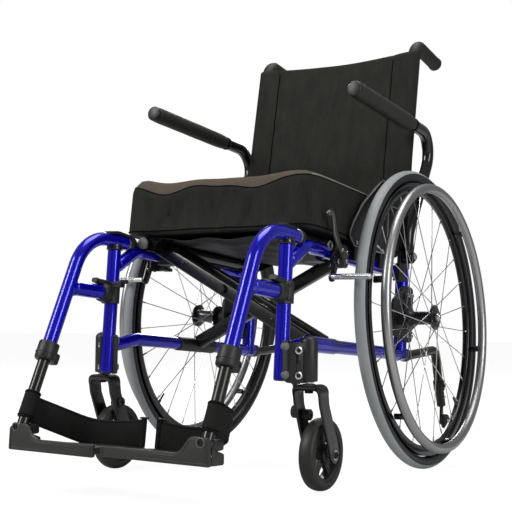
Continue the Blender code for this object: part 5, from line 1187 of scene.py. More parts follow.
def hanger(side, tag):
    """Bent hanger tube with its welded stub, pivot bush, rear cap and ring, and the strip and
    screw on its bend."""
    end = (FRAME_X, HANGER_BACK_V, HANGER_W)
    top_w = HANGER_W + TUBE_RADIUS
    strip_x = FRAME_X - 0.005
    root = hanger_line((COLLAR_W - STUB_W) / np.cos(HANGER_ANGLE))
    crest = hanger_line((COLLAR_W - HANGER_W) / np.cos(HANGER_ANGLE))
    bush = [(0.015, 0), (0.0154, 0.0012), (0.0154, 0.006), (0.014, 0.0085), (0.012, 0.011)]
    cap = [(TUBE_RADIUS + 0.0009, -0.012), (TUBE_RADIUS + 0.0009, -0.001), (TUBE_RADIUS - 0.0015, 0.002)]
    ring = [(TUBE_RADIUS - 0.001, -0.015), (TUBE_RADIUS + 0.0016, -0.0145), (TUBE_RADIUS + 0.0016, -0.0125),
            (TUBE_RADIUS - 0.001, -0.012)]
    strip = rounded([(strip_x, FRONT_V - 0.03, top_w - 0.0012), (strip_x, FRONT_V - 0.004, top_w + 0.003),
                     (strip_x, HANGER_BACK_V + 0.002, top_w - 0.001),
                     (strip_x, HANGER_BACK_V + 0.008, HANGER_W + 0.002)], [0.03, 0.03, 0.006])
    surfaces = [
        bar(side, [hanger_line(COLLAR_HALF * 0.6), crest, end], [HANGER_BEND], TUBE_RADIUS, BLUE, 32),
        bar(side, [root, (FRAME_X, FRONT_V - TUBE_RADIUS - 0.006, STUB_W)], [], STUB_RADIUS, BLUE, 32),
        weld(side, root + (0, 0.0145, 0), V_WAY, STUB_RADIUS),
        knob(bush, placed(side, (FRAME_X, FRONT_V, FRONT_TOP_W + 0.0004)), W_WAY, BLACK_PAINT, 30),
        knob(cap, placed(side, end), V_WAY, MOULDING, 30, 0.0006),
        hoop(ring, placed(side, end), V_WAY, ZINC, 30),
        swept(placed(side, strip), rounded_rectangle(0.014, 0.0056, 0.0022), MOULDING),
        knob([(0.005, -0.002), (0.005, 0.0014), (0.003, 0.003)],
             placed(side, (strip_x, FRONT_V + 0.006, top_w + 0.003)), W_WAY, BLACK_SCREW, 20, 0.0002),
    ]
    dress("hanger_" + tag, "tube", surfaces, "legrest_" + tag)


def height_collar(side, tag):
    """Split collar on the hanger's end: a lip round it, and behind it the lug with its screw."""
    way = unit(chair(hanger_line(-1)) - chair(hanger_line(0)))
    rear = np.cross(way, X_WAY)
    rear = rear * np.sign(rear[1])
    middle = placed(side, hanger_line(0))
    inner, outer, half = 0.0132, COLLAR_RADIUS, COLLAR_HALF
    bore = EXTENSION_RADIUS + 0.0005
    body = [(inner, half), (outer - 0.002, half), (outer - 0.0005, half - 0.0006), (outer, half - 0.002),
            (outer, -half + 0.004), (outer - 0.0008, -half + 0.0015), (outer - 0.003, -half), (bore, -half),
            (bore, -half + 0.006), (inner, -half + 0.007)]
    lip = [(outer, -0.0014), (outer + 0.001, -0.0008), (outer + 0.001, 0.0008), (outer, 0.0014),
           (outer - 0.002, 0)]
    lug = middle + rear * (COLLAR_RADIUS + 0.0015) - way * 0.0055
    surfaces = [hoop(body, middle, way, MOULDING, 40),
                block(lug, (0.02, 0.014, 0.021), MOULDING, (X_WAY, rear, way), 0.0035),
                screw(lug + X_WAY * side * 0.0095, (side, 0, 0), BLACK_SCREW, 0.0046, 0.0024),
                hoop(lip, middle - way * 0.004, way, MOULDING, 40)]
    dress("height_collar_" + tag, "clamp", surfaces, "legrest_" + tag)


def hanger_latch(side, tag):
    """Saddle that grips the front post: two screws, the cup behind the stub, the release paddle
    over it and the wing towards the sitter."""
    extra = []
    for rise in (-0.012, 0.012):
        face = placed(side, (FRAME_X + SADDLE_RADIUS * 0.8, FRONT_V - 0.0095, STUB_W + rise))
        extra.append(screw(face, (side * 0.8, -0.6, 0), BLACK_SCREW, 0.004, 0.0024))
    cup = [(STUB_RADIUS - 0.0006, -0.0115), (STUB_RADIUS + 0.0022, -0.0105), (STUB_RADIUS + 0.0044, -0.0065),
           (STUB_RADIUS + 0.0052, 0.001), (STUB_RADIUS + 0.0046, 0.009), (0.006, 0.011)]
    top_w = STUB_W + STUB_RADIUS
    paddle = rounded([(FRAME_X + 0.004, FRONT_V - 0.048, top_w + 0.0085),
                      (FRAME_X + 0.003, FRONT_V - 0.036, top_w + 0.006),
                      (FRAME_X + 0.002, FRONT_V - 0.01, top_w + 0.004)], [0.02])
    t = np.linspace(0, 1, 24)
    wing = np.column_stack([FRAME_X - 0.01 - 0.03 * t, FRONT_V - 0.01 + 0.004 * t,
                            STUB_W + SADDLE_HALF - 0.003 + 0.0065 * t])
    extra += [
        hoop(cup, placed(side, (FRAME_X, FRONT_V - TUBE_RADIUS - 0.011, STUB_W)), V_WAY, MOULDING, 36),
        swept(placed(side, paddle), rounded_rectangle(0.017, 0.01, 0.004), MOULDING, X_WAY,
              np.linspace(0.9, 1.1, len(paddle))),
        swept(placed(side, wing), rounded_rectangle(0.013, 0.0055, 0.0025), MOULDING, V_WAY,
              1 + 0.35 * np.sin(t * np.pi)),
    ]
    refined("hanger_latch_" + tag, "saddle", "legrest_" + tag, 0.0014, extra)


def extension_line(side):
    """Foot and top of the footrest's tube, and the direction between them."""
    low, high = placed(side, [hanger_line(0.02), hanger_line(-EXTENSION_INSERT)])
    way = unit(high - low)
    return low + way * ((PLATE_PIVOT_Z - 0.004 - low[2]) / way[2]), high, way


def footrest(side, tag):
    """Extension tube with the hinge casting and its pivot screw in a ring."""
    pivot = floor_place(side * PLATE_PIVOT_X, PLATE_FRONT_V + PLATE_LIP + 0.0003, PLATE_PIVOT_Z)
    foot, high = extension_line(side)[:2]
    face = pivot - (0, PLATE_LIP + 0.0006, 0)
    ring = [(0.0062, 0.0004), (0.0076, 0.0006), (0.0078, -0.0004), (0.006, -0.0006)]
    surfaces = [
        pipe([foot, high], EXTENSION_RADIUS, TUBE_GREY, 28),
        block(pivot + (0, 0.019, -0.0065), (0.0275, 0.035, 0.0165), MOULDING, (X_WAY, REAR, UP), 0.003),
        hoop(ring, face, -REAR, PLUG_GREY, 30),
        screw(face, -REAR, BLACK_SCREW, 0.0058, 0.0022),
        pipe([face, pivot + (0, 0.002, 0)], 0.0038, ZINC, 16),
    ]
    dress("footrest_tube_" + tag, "assembly", surfaces, "footrest_" + tag)


def footplate(side, tag):
    """Moulded plate: front lip swelling up into the hinge ear by an S curve, a bead round the
    lip, a deck with raised tread bars and ribs below, and the two cheeks of the hinge. The
    right one reaches less far in and its ear and lower edge are lower."""
    left = side > 0
    inner = PLATE_INNER_X - 0.0095 if left else PLATE_INNER_X + 0.0145
    fall = 0 if left else 0.0075
    low = PLATE_BOTTOM_Z if left else PLATE_BOTTOM_Z - 0.0035
    front_y = floor_place(0, PLATE_FRONT_V, 0)[1]
    ring = outline([(PLATE_OUTER_X, low), (PLATE_OUTER_X - 0.002, EAR_TOP_Z - fall), (EAR_IN_X, EAR_TOP_Z),
                    (EAR_IN_X - 0.02, PLATE_LIP_TOP_Z), (inner, PLATE_LIP_TOP_Z), (inner, low)],
                   [0.003, 0.007, 0.014, 0.026, 0.002, 0.003], 9)

    def lip_place(x, z, y):
        return np.stack([side * x, front_y + y, z], -1)

    def cheek_place(y, z, x):
        return lip_place(x, z, PLATE_LIP - 0.001 + y)

    start = floor_place(0, PLATE_FRONT_V + PLATE_LIP - 0.004, DECK_TOP_Z)

    def deck_place(x, y, z):
        return start + np.stack([side * x, y * np.cos(PLATE_PITCH) + z * np.sin(PLATE_PITCH),
                                 -y * np.sin(PLATE_PITCH) + z * np.cos(PLATE_PITCH)], -1)

    bead = inset(ring, 0.0045)
    bead = lip_place(bead[:, 0], bead[:, 1], np.full(len(bead), 0.0004))
    outer = PLATE_OUTER_X - 0.004
    deck = outline([(inner, 0), (outer, 0), (outer, 0.034), (outer - 0.04, 0.06),
                    (outer - 0.095, PLATE_DEPTH), (inner, PLATE_DEPTH)],
                   [0.001, 0.001, 0.006, 0.014, 0.016, 0.008])
    surfaces = [plate(ring, lip_place, 0, PLATE_LIP, PLATE_PLASTIC, 0.0018),
                pipe(np.vstack([bead, bead[:1]]), 0.001, PLATE_PLASTIC, 8, REAR, None, 0),
                plate(deck, deck_place, -PLATE_THICK, 0, PLATE_PLASTIC, 0.0012)]
    treads = [(PLATE_INNER_X + 0.014 + k * 0.0105, PLATE_DEPTH - 0.012, 0.1, PLATE_DEPTH - 0.05, 0.01, 0.0,
               (0.0026, 0.0016, 0.0007)) for k in range(9)]
    ribs = [(PLATE_INNER_X + 0.022 + k * 0.04, PLATE_DEPTH - 0.02, 0.11, 0.056, 0.002, -PLATE_THICK - 0.002,
             (0.0028, 0.0075, 0.0008)) for k in range(4)]
    for x, long, limit_x, short, near, level, size in treads + ribs:
        depth = long if x < limit_x else short
        line = deck_place(np.full(3, x), np.array([near, depth / 2, depth]), np.full(3, level))
        surfaces.append(swept(line, rounded_rectangle(*size, 3), PLATE_PLASTIC))
    cheek = outline([(0.001, PLATE_BOTTOM_Z + 0.001), (0.034, PLATE_BOTTOM_Z - 0.0005),
                     (0.034, PLATE_BOTTOM_Z + 0.016), (0.016, PLATE_BOTTOM_Z + 0.022),
                     (0.001, PLATE_PIVOT_Z - 0.006)], [0.001, 0.004, 0.004, 0.012, 0.001])
    for near, far in ((PLATE_PIVOT_X + 0.015, PLATE_OUTER_X - 0.0004),
                      (PLATE_PIVOT_X - 0.0195, PLATE_PIVOT_X - 0.0152)):
        surfaces.append(plate(cheek, cheek_place, near, far, PLATE_PLASTIC, 0.0008))
    piece("footplate_" + tag + "_moulding", surfaces, "plate_" + tag, ["footplate_" + tag],
          30)


def heel_loop(side, tag):
    """Webbing: a sewn sleeve round the tube and a stitched band that sags back and in to its
    capped post."""
    foot, _, way = extension_line(side)
    centre = foot + way * ((STRAP_SLEEVE_Z - foot[2]) / way[2])
    reach = EXTENSION_RADIUS + STRAP_THICK
    t = np.linspace(-0.5, 0.5, 20)
    ripple = 1 + 0.015 * np.cos(t * 40)
    surfaces = [pipe(centre + np.outer(t * STRAP_WIDTH, way), reach, WEBBING, 32, X_WAY, ripple, 0.0012)]
    seam = [(reach - 0.001, -0.0009), (reach + 0.0007, -0.0009), (reach + 0.0007, 0.0009),
            (reach - 0.001, 0.0009)]
    for rise in (-0.43, 0.43):
        surfaces.append(hoop(seam, centre + way * STRAP_WIDTH * rise, way, THREAD_AND_SEAM_SHADE, 32))

    deck_drop = (STRAP_POST_V - PLATE_FRONT_V - PLATE_LIP) * np.tan(PLATE_PITCH)
    post_z = DECK_TOP_Z - deck_drop + STRAP_WIDTH / 2 + 0.0004
    end = floor_place(side * STRAP_POST_X, STRAP_POST_V, post_z)
    rear = np.cross(way, X_WAY)
    rear = rear * np.sign(rear[1])
    leave = centre + X_WAY * side * (EXTENSION_RADIUS + STRAP_THICK * 0.5)
    turn_in = floor_place(side * 0.128, STRAP_POST_V - 0.008, post_z + 0.001)
    line = even_path(rounded([leave, leave + rear * 0.034, turn_in, end], [0.02, 0.07], np.radians(3)), 90)
    t = np.linspace(0, 1, 90)[:, None]
    line[:, 2] -= STRAP_SAG * np.sin(np.pi * t[:, 0] ** 1.7)
    lean = np.array([0, 0.12, 1.0])
    up = unit(way + (lean - way) * np.minimum(1.0, 1.6 * t))
    out = unit(np.cross(unit(np.gradient(line, axis=0)), up))
    middle = line + out * 0.0016 * np.sin(t * 13) * np.sin(t * np.pi)
    section = rounded_rectangle(STRAP_WIDTH, STRAP_THICK, 0.0013)
    bow = 0.0022 * np.cos(section[:, 0] / STRAP_WIDTH * np.pi)
    surfaces.append(lattice(middle[:, None] + section[None, :, :1] * up[:, None]
                            + (section[:, 1] + bow)[None, :, None] * out[:, None], WEBBING))
    for rise in (-0.42, 0.42):
        for face in (-1, 1):
            sew = middle + up * STRAP_WIDTH * rise + out * (face * (STRAP_THICK / 2) + bow.max() * 0.3)
            surfaces.append(pipe(sew, 0.00055, THREAD_AND_SEAM_SHADE, 5, UP, None, 0))
    lean = unit(lean)
    post = np.array([end - lean * STRAP_WIDTH / 2, end + lean * (STRAP_WIDTH / 2 + 0.001)])
    cap = [(0.0078, -0.001), (0.0082, 0.0006), (0.007, 0.002)]
    surfaces += [pipe(post, 0.0052, WEBBING, 20, X_WAY, None, 0.001),
                 knob(cap, post[1], lean, MOULDING, 24, 0.0006)]
    made = piece("heel_loop_" + tag + "_webbing", surfaces, "footrest_" + tag, ["heel_loop_" + tag],
                 soft=True)
    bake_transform(made)


# Anti-tippers
def anti_tipper(side, tag):
    """Bent tube with its height collar, spring button and roller tab, and the roller."""
    out = X_WAY * side
    knee = np.array(TIPPER_KNEE)
    down = unit(TIPPER_LOW - knee)
    way = unit(V_WAY * down[0] + W_WAY * down[1])
    centre = placed(side, (FRAME_X, *(knee + down * 0.086)))
    corners = [(FRAME_X, RAIL_END_V - 0.02, LOWER_RAIL_W), (FRAME_X, RAIL_END_V + 0.014, LOWER_RAIL_W),
               (FRAME_X, *TIPPER_KNEE), (FRAME_X, *TIPPER_LOW)]
    collar = [(TIPPER_RADIUS, -0.012), (0.0118, -0.012), (0.0127, -0.0105), (0.0127, 0.0105), (0.0118, 0.012),
              (TIPPER_RADIUS, 0.012)]
    v, w = TIPPER_WHEEL
    tab_w = TIPPER_LOW[1] + 0.006
    tab = outline([(v - 0.007, tab_w), (v + 0.004, tab_w), (v + 0.009, w - 0.008), (v - 0.008, w - 0.008)],
                  [0.002, 0.002, 0.007, 0.007])
    axle = placed(side, (FRAME_X, v, w))
    surfaces = [
        bar(side, corners, [0.04, 0.024], TIPPER_RADIUS, TUBE_GREY),
        hoop(collar, centre, way, MOULDING, 28),
        screw(centre + out * 0.012, out, MOULDING, 0.005, 0.003),
        knob([(0.0034, -0.002), (0.0034, 0.0012), (0.0022, 0.0024)],
             placed(side, (FRAME_X + TIPPER_RADIUS, *(knee + down * 0.115))), out, ZINC, 16, 0.0004),
        plate(tab, upright_place(side), FRAME_X - 0.0025, FRAME_X + 0.0025, BLACK_PAINT, 0.0008),
        pipe([axle, axle + out * 0.0165], 0.003, ZINC, 14, V_WAY),
        screw(axle + out * 0.0163, out, ZINC, 0.0052, 0.0026),
    ]
    dress("anti_tip_tube_" + tag, "bend", surfaces, side_body(side))
    wide, radius = TIPPER_WHEEL_WIDTH, TIPPER_WHEEL_RADIUS
    roll = [(0.0033, 0.0031), (0.0095, 0.0031), (0.0105, 0.0042), (radius - 0.003, 0.0036),
            (radius - 0.0008, 0.0046), (radius, 0.0065), (radius, wide), (radius - 0.0008, 0.0016 + wide),
            (radius - 0.003, 0.0026 + wide), (0.0105, 0.002 + wide), (0.0095, 0.0028 + wide),
            (0.0033, 0.0028 + wide)]
    roller = hoop(roll, axle, out, GRIP_RUBBER, 40)
    dress("anti_tip_wheel_" + tag, "roller", [roller], "tip_roller_" + tag)


# Scissor brace
def cross_arm(hand, name, stations, body, sleeve_finish, sleeve_reach):
    """One arm: seat rail with its end plugs, box-section bars with their screws, and the sleeve
    on the lower rail."""
    radius = SEAT_RAIL_RADIUS
    rail = [(SEAT_RAIL_X, SEAT_RAIL_FRONT_V, SEAT_RAIL_W), (SEAT_RAIL_X, SEAT_RAIL_BACK_V, SEAT_RAIL_W)]
    surfaces = [bar(hand, rail, [], radius, BLACK_PAINT, 28)]
    plug = [(radius + 0.0006, -0.001), (radius + 0.0006, 0.0018), (radius - 0.001, 0.0034)]
    for v, way in ((SEAT_RAIL_FRONT_V, -V_WAY), (SEAT_RAIL_BACK_V, V_WAY)):
        surfaces.append(knob(plug, placed(hand, (SEAT_RAIL_X, v, SEAT_RAIL_W)), way, PLUG_GREY, 28, 0.0004))
    for v in stations:
        low, high = placed(hand, [(-FRAME_X, v, LOWER_RAIL_W), (SEAT_RAIL_X, v, SEAT_RAIL_W)])
        way = unit(high - low)
        path = [low + way * 0.013, (low + high) / 2, high - way * 0.004]
        surfaces.append(swept(path, rounded_rectangle(ARM_WIDTH, ARM_DEPTH, 0.0035, 5), BLACK_PAINT, V_WAY))
        for place in (0.22, 0.8):
            for face in (-V_WAY, V_WAY):
                spot = low + (high - low) * place + face * ARM_WIDTH / 2
                surfaces.append(screw(spot, face, BLACK_SCREW, 0.004, 0.0022))
    low_v = max(min(stations) - sleeve_reach[0], LOWER_BEND_V + 0.006)
    length = max(stations) + sleeve_reach[1] - low_v
    inner, outer = TUBE_RADIUS + 0.0004, SLEEVE_RADIUS
    sleeve = [(inner, 0), (outer - 0.001, 0), (outer, 0.001), (outer, length - 0.001),
              (outer - 0.001, length), (inner, length)]
    surfaces.append(hoop(sleeve, placed(hand, (-FRAME_X, low_v, LOWER_RAIL_W)), V_WAY, sleeve_finish, 36))
    dress(name, "arm", surfaces, body)


def brace_bolt():
    """Bolt through the crossing bars, with a spacer tube, washers and nuts."""
    w = LOWER_RAIL_W + FRAME_X * (SEAT_RAIL_W - LOWER_RAIL_W) / (FRAME_X + SEAT_RAIL_X)
    first, last = ARM_B_FRONT_V - ARM_WIDTH / 2, ARM_A_V + ARM_WIDTH / 2
    spacer = [(0, ARM_B_REAR_V + ARM_WIDTH / 2 + 0.0004, w), (0, ARM_A_V - ARM_WIDTH / 2 - 0.0004, w)]
    nut = [(0.0082, 0.0014), (0.0086, 0.002), (0.0086, 0.0056), (0.0078, 0.0064)]
    surfaces = [bar(1, [(0, first - 0.005, w), (0, last + 0.006, w)], [], 0.005, ZINC, 20),
                bar(1, spacer, [], 0.008, BLACK_PAINT)]
    for v, way in ((first - 0.0004, -V_WAY), (last + 0.0004, V_WAY)):
        surfaces += [washer(0.0052, 0.0092, 0.0014, chair((0, v, w)), way, BLACK_PAINT),
                     knob(nut, chair((0, v, w)), way, BLACK_SCREW, 6, 0.0002)]
    piece("brace_bolt_set", surfaces, "brace_a", ["brace_bolt"])


# Soft parts
def signed_power(value, exponent):
    return np.sign(value) * np.abs(value) ** exponent


def leg_channels(x):
    """Depth of the two thigh channels across the cushion, the left a little shallower."""
    return bell(x, -0.112, 0.055) + 0.88 * bell(x, 0.088, 0.055)


def cushion_form(around=320):
    """Rings from the underside's centre, up the walls and over to the top's centre, and the
    number of the rings up to the sewn edge.

    In plan each ring is a superellipse with evenly spaced points, drawn in along the sides
    between the corners. The wall ends at the sewn edge, which dips in front of each thigh
    channel; from there the top rolls up and back to its crown and sinks towards the middle
    and along the thighs. The right side is wider than the left."""
    angle = np.linspace(0, 2 * np.pi, around, endpoint=False)
    power = 2 / RING_SQUARE
    reach = (np.abs(np.cos(angle)) ** power + np.abs(np.sin(angle)) ** power) ** (1 / power)
    edge_x, edge_v = np.cos(angle) / reach, np.sin(angle) / reach
    turn_x, turn_v = signed_power(edge_x, 1 / RING_SQUARE), signed_power(edge_v, 1 / RING_SQUARE)
    half_v = (CUSHION_BACK_V - CUSHION_FRONT_V) / 2
    mid_v = (CUSHION_BACK_V + CUSHION_FRONT_V) / 2
    wide_x = edge_x * CUSHION_X
    corner = np.minimum(1, np.abs(edge_x * edge_v) / 0.895) ** 2
    front = np.clip((-edge_v - 0.55) / 0.45, 0, 1)
    seam = SEAM_W - front * (0.023 * leg_channels(wide_x) + 0.011 * bell(wide_x, 0, 0.045))
    seam -= 0.006 * np.clip(edge_v, 0, 1) * (1 - corner)
    rings = []
    for scale in np.linspace(0.02, 0.97, UNDERSIDE_RINGS):
        rings.append((edge_x * scale, edge_v * scale, np.full(around, CUSHION_BOTTOM_W)))
    for t in np.linspace(0, 1, WALL_RINGS):
        hug = 1 - 0.02 * np.sin(np.pi * t) * (1 - corner) - 0.024 * (1 - np.minimum(1, t / 0.09)) ** 2
        hug -= 0.012 * np.clip((t - 0.85) / 0.15, 0, 1) ** 2
        fold = sum(deep * bell(wide_x, x + lean * (1 - t), wide) for x, lean, deep, wide in WALL_FOLDS)
        fold = fold * FOLD_DEPTH * np.sin(np.pi * t) ** 0.7
        rings.append((edge_x * hug, edge_v * hug + front * fold / half_v,
                      CUSHION_BOTTOM_W + (seam - CUSHION_BOTTOM_W) * t))
    for share in np.linspace(0, 1, 30)[1:]:
        scale = 0.988 - 0.97 * share
        x = signed_power(turn_x, RING_SQUARE + 0.5 * share) * scale
        v = signed_power(turn_v, RING_SQUARE + 0.5 * share) * scale
        wide_x = x * CUSHION_X
        roll = np.sqrt(np.clip(1 - (1 - np.minimum(1, share / 0.1)) ** 2, 0, 1))
        crown = CROWN_W - 0.0078 * leg_channels(wide_x) * (0.35 + 0.65 * (1 - v) / 2)
        crown -= 0.003 * bell(wide_x, 0, 0.05) + 0.018 * np.clip((v + 0.5) / 1.5, 0, 1)
        crown -= 0.014 * (1 - np.clip(np.abs(x), 0, 1) ** 3) * np.clip((v + 0.6) / 1.2, 0, 1)
        crown -= 0.0045 * np.clip((np.abs(x) - 0.86) / 0.14, 0, 1)
        crown += np.clip(-v, 0, 1) * (0.0062 * bell(wide_x, -0.182, 0.036) - 0.003 * bell(wide_x, 0, 0.06))
        rings.append((x, v, seam * (1 - roll) + crown * roll))
    grid = np.stack([np.stack([x * CUSHION_X, mid_v + v * half_v, w], 1) for x, v, w in rings])
    low = np.clip((SEAM_W - grid[..., 2]) / (SEAM_W - CUSHION_BOTTOM_W), 0, 1)
    far = np.clip(-grid[..., 0] / CUSHION_X, 0, 1)
    grid[..., 0] -= far * (0.0085 + 0.005 * low)
    return grid, UNDERSIDE_RINGS + WALL_RINGS


def cushion():
    """Cushion in three cloths, smooth hem, nylon walls and mesh top, with a sewn cord round its
    upper and its lower edge, and a light grey cord along the left of the upper one that is a painted
    highlight."""
    grid, edge = cushion_form()
    places = chair(grid)
    base = lattice(places[:HEM_RING + 1], SLING_CLOTH, caps=False)
    walls = lattice(places[HEM_RING:edge], NYLON, caps=False)
    top = lattice(places[edge - 1:], SPACER_MESH, caps=False)
    count = places.shape[1]
    base[1].append(list(range(count))[::-1])
    top[1].append(list(range(len(top[0]) - count, len(top[0]))))
    made = piece("cushion_body", [base, walls, top], "seat", ["cushion"], 60, soft=True)
    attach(made, "seat")

    seam = places[edge - 1]
    low = chair(grid[HEM_RING] * (1.001, 1.001, 1))
    # Painted highlight: a light grey cord only along the left of the sewn top edge, where light catches that
    # edge.
    beside = seam[(seam[:, 0] > 0.1) & (grid[edge - 1][:, 1] > -0.374)]
    beside = beside[np.argsort(beside[:, 1])] + (0.001, 0, 0.0012)
    soft_pieces = [made]
    for name, line, radius, finish, sides in (
            ("cushion_seam", np.vstack([seam, seam[:1]]), 0.0011, THREAD_AND_SEAM_SHADE, 7),
            ("cushion_painted_highlight", beside, 0.0013, LIGHT_EDGE_GREY, 8),
            ("cushion_foot_seam", np.vstack([low, low[:1]]), 0.0012, THREAD_AND_SEAM_SHADE, 7)):
        cord = pipe(line, radius, finish, sides, W_WAY, None, 0)
        soft_pieces.append(piece(name, [cord], "seat", ()))
    for made in soft_pieces:
        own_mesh(made)


def seat_sling():
    """Seat cloth over both rails: a thin sheet that sags between them in slanted folds, its long
    edges rolled round the rails."""
    t = np.linspace(-1, 1, 81)
    low = SEAT_RAIL_W + SEAT_RAIL_RADIUS + 0.0004
    sag = 0.0016 * (1 - t ** 2)
    top = np.column_stack([SEAT_RAIL_X * t, low + 0.0026 - sag])
    under = np.column_stack([SEAT_RAIL_X * t[::-1], low + 0.0001 - sag])
    turn = np.linspace(np.pi / 2, -np.pi * 0.62, 18)[1:]
    way = np.column_stack([np.cos(turn), np.sin(turn)])
    rail = np.array([SEAT_RAIL_X, SEAT_RAIL_W])
    wrap = rail + (SEAT_RAIL_RADIUS + 0.0027) * way
    back = rail + (SEAT_RAIL_RADIUS + 0.0006) * way[::-1]
    mirror = np.array([-1.0, 1.0])
    section = np.vstack([top, wrap, back, under, wrap * mirror, back * mirror])
    v = np.linspace(SEAT_RAIL_FRONT_V + 0.012, SEAT_RAIL_BACK_V, 40)[:, None]
    x, w = section[None, :, 0], section[None, :, 1]
    span = np.clip(1 - (x / (SEAT_RAIL_X - 0.012)) ** 2, 0, 1) * (w > SEAT_RAIL_W)
    folds = 0.0026 * np.sin(x * 58 + v * 34) + 0.0016 * np.sin(x * 31 - v * 61 + 1.0)
    grid = np.stack(np.broadcast_arrays(x, v, w - span * (SLING_SAG + folds)), -1)
    made = piece("seat_sling_cloth", [lattice(chair(grid), SLING_CLOTH)], "seat", ["seat_sling"],
                 50, soft=True)
    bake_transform(made)


def back_section():
    """Left half of the back cloth's front: round the outside of the cane, in to the sleeve's
    seam, and across to the middle, as (x, v offset)."""
    turn = np.linspace(0, np.pi / 2, CANE_POINTS)
    outer = np.column_stack([FRAME_X + SLEEVE_CLOTH * np.sin(np.pi / 2 - turn), -SLEEVE_CLOTH * np.sin(turn)])
    x = np.linspace(FRAME_X, 0, 48)[1:]
    inward = np.clip((x - BACK_SEAM_X) / (FRAME_X - BACK_SEAM_X), 0, 1)
    v = -0.0058 - (SLEEVE_CLOTH - 0.0058) * inward ** 1.6
    return np.vstack([outer, np.column_stack([x, v + 0.003 * bell(x, BACK_SEAM_X, 0.003)])])


def back_cloth():
    """Back cloth: one closed skin whose section runs round both canes. It leans with the
    canes, bellies back a little between them, and puckers faintly beside its seams. The left
    seam lies further in and the right sleeve is wider. Cords mark the seams and the hem; the
    seam cords are dark and wide, standing for the seams' painted shade as well as their thread."""
    half = back_section()
    front = np.vstack([half, (half * (-1, 1))[::-1][1:]])
    rear = (front * (1, -1))[::-1][1:-1]
    rear[:, 1] = np.where(np.abs(rear[:, 0]) < 0.15, 0.003, rear[:, 1])
    section = np.vstack([front, rear])
    section[:, 0] -= np.maximum(-section[:, 0] - FRAME_X, 0) * 0.3
    section[:, 0] -= NEAR_SEAM_SHIFT * bell(section[:, 0], BACK_SEAM_X, 0.022)
    x, depth = section[None, :, 0], section[None, :, 1]
    w = np.linspace(BACK_BOTTOM_W, BACK_TOP_W, 90)[:, None]
    above = w - CANE_BEND_W
    lean = REAR_POST_V + 0.5 * (above + np.sqrt(above ** 2 + 4 * 0.006 ** 2)) * np.tan(CANE_RECLINE)
    inside = np.clip(1 - (x / 0.165) ** 2, 0, 1)
    up = (w - BACK_BOTTOM_W) / (BACK_TOP_W - BACK_BOTTOM_W)
    belly = 0.011 * inside * (0.4 + 0.6 * up)
    pucker = 0.0009 * np.sin(w * 95 + x * 20) * bell(np.abs(x), 0.146, 0.012)
    soft = 0.0016 * np.sin(x * 26 + 1.0) * np.sin(w * 11 + 0.5) * inside
    close = np.clip(np.minimum(w - BACK_BOTTOM_W, BACK_TOP_W - w) / 0.003, 0, 1) ** 0.5 * 0.25 + 0.75
    dip = 0.004 * inside * (up > 0.5) * up ** 8
    grid = np.stack(np.broadcast_arrays(x, lean + depth * close + belly + pucker + soft, w - dip), -1)
    surfaces = [lattice(chair(grid), NYLON)]
    # Seam cords: dark thread, wide enough that it also paints the shade in each seam.
    for seam_x in (-BACK_SEAM_X, BACK_SEAM_X - NEAR_SEAM_SHIFT):
        for face in (-1, 1):
            column = np.argmin(np.abs(section[:, 0] - seam_x) + (np.sign(section[:, 1]) != face))
            line = chair(grid[2:-2, column] + (0, face * 0.0002, 0))
            surfaces.append(pipe(line, 0.0014, THREAD_AND_SEAM_SHADE, 6, X_WAY, None, 0))
    row = np.argmin(np.abs(w[:, 0] - BACK_BOTTOM_W - 0.012))
    hem = chair(grid[row, CANE_POINTS:len(front) - CANE_POINTS] + (0, -0.0002, 0))
    surfaces.append(pipe(hem, 0.0007, THREAD_AND_SEAM_SHADE, 6, W_WAY, None, 0))
    made = piece("back_cloth", surfaces, "right_side", ["back_upholstery"], 50, soft=True)
    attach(made, "right_side")
    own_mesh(made)


for side, tag in SIDES:
    for build in (tyre_and_rim, handrim, hub, castor_fork, castor_roller, castor_housing, side_frame,
                  seat_guide, axle_plate, cane_and_grip, armrest, side_guard, wheel_lock, hanger,
                  height_collar, hanger_latch, footrest, footplate, heel_loop, anti_tipper):
        build(side, tag)
cross_arm(1, "cross_arm_a", [ARM_A_V], "brace_a", MOULDING, (0.065, 0.065))
cross_arm(-1, "cross_arm_b", [ARM_B_FRONT_V, ARM_B_REAR_V], "brace_b", BLUE, (0.022, 0.016))
brace_bolt()
seat_sling()
cushion()
back_cloth()


# Stage, camera and light
FLOOR_GLOW = 1.28
FLOOR_GLOW_SHARE = 0.72
FLOOR_TONE = 0.6
SKY_LIGHT = 0.22
FLOOR_SPAN = 14.0
FLOOR_Z = -0.0006
CAMERA_PLACE = (1.0384, -1.9189, 0.292)
CAMERA_YAW = np.radians(31.468)
CAMERA_PITCH = np.radians(3.729)
CAMERA_ROLL = np.radians(0.623)
SENSOR_WIDTH = 36.0
FOCAL_SHARE = 996.2 / 512


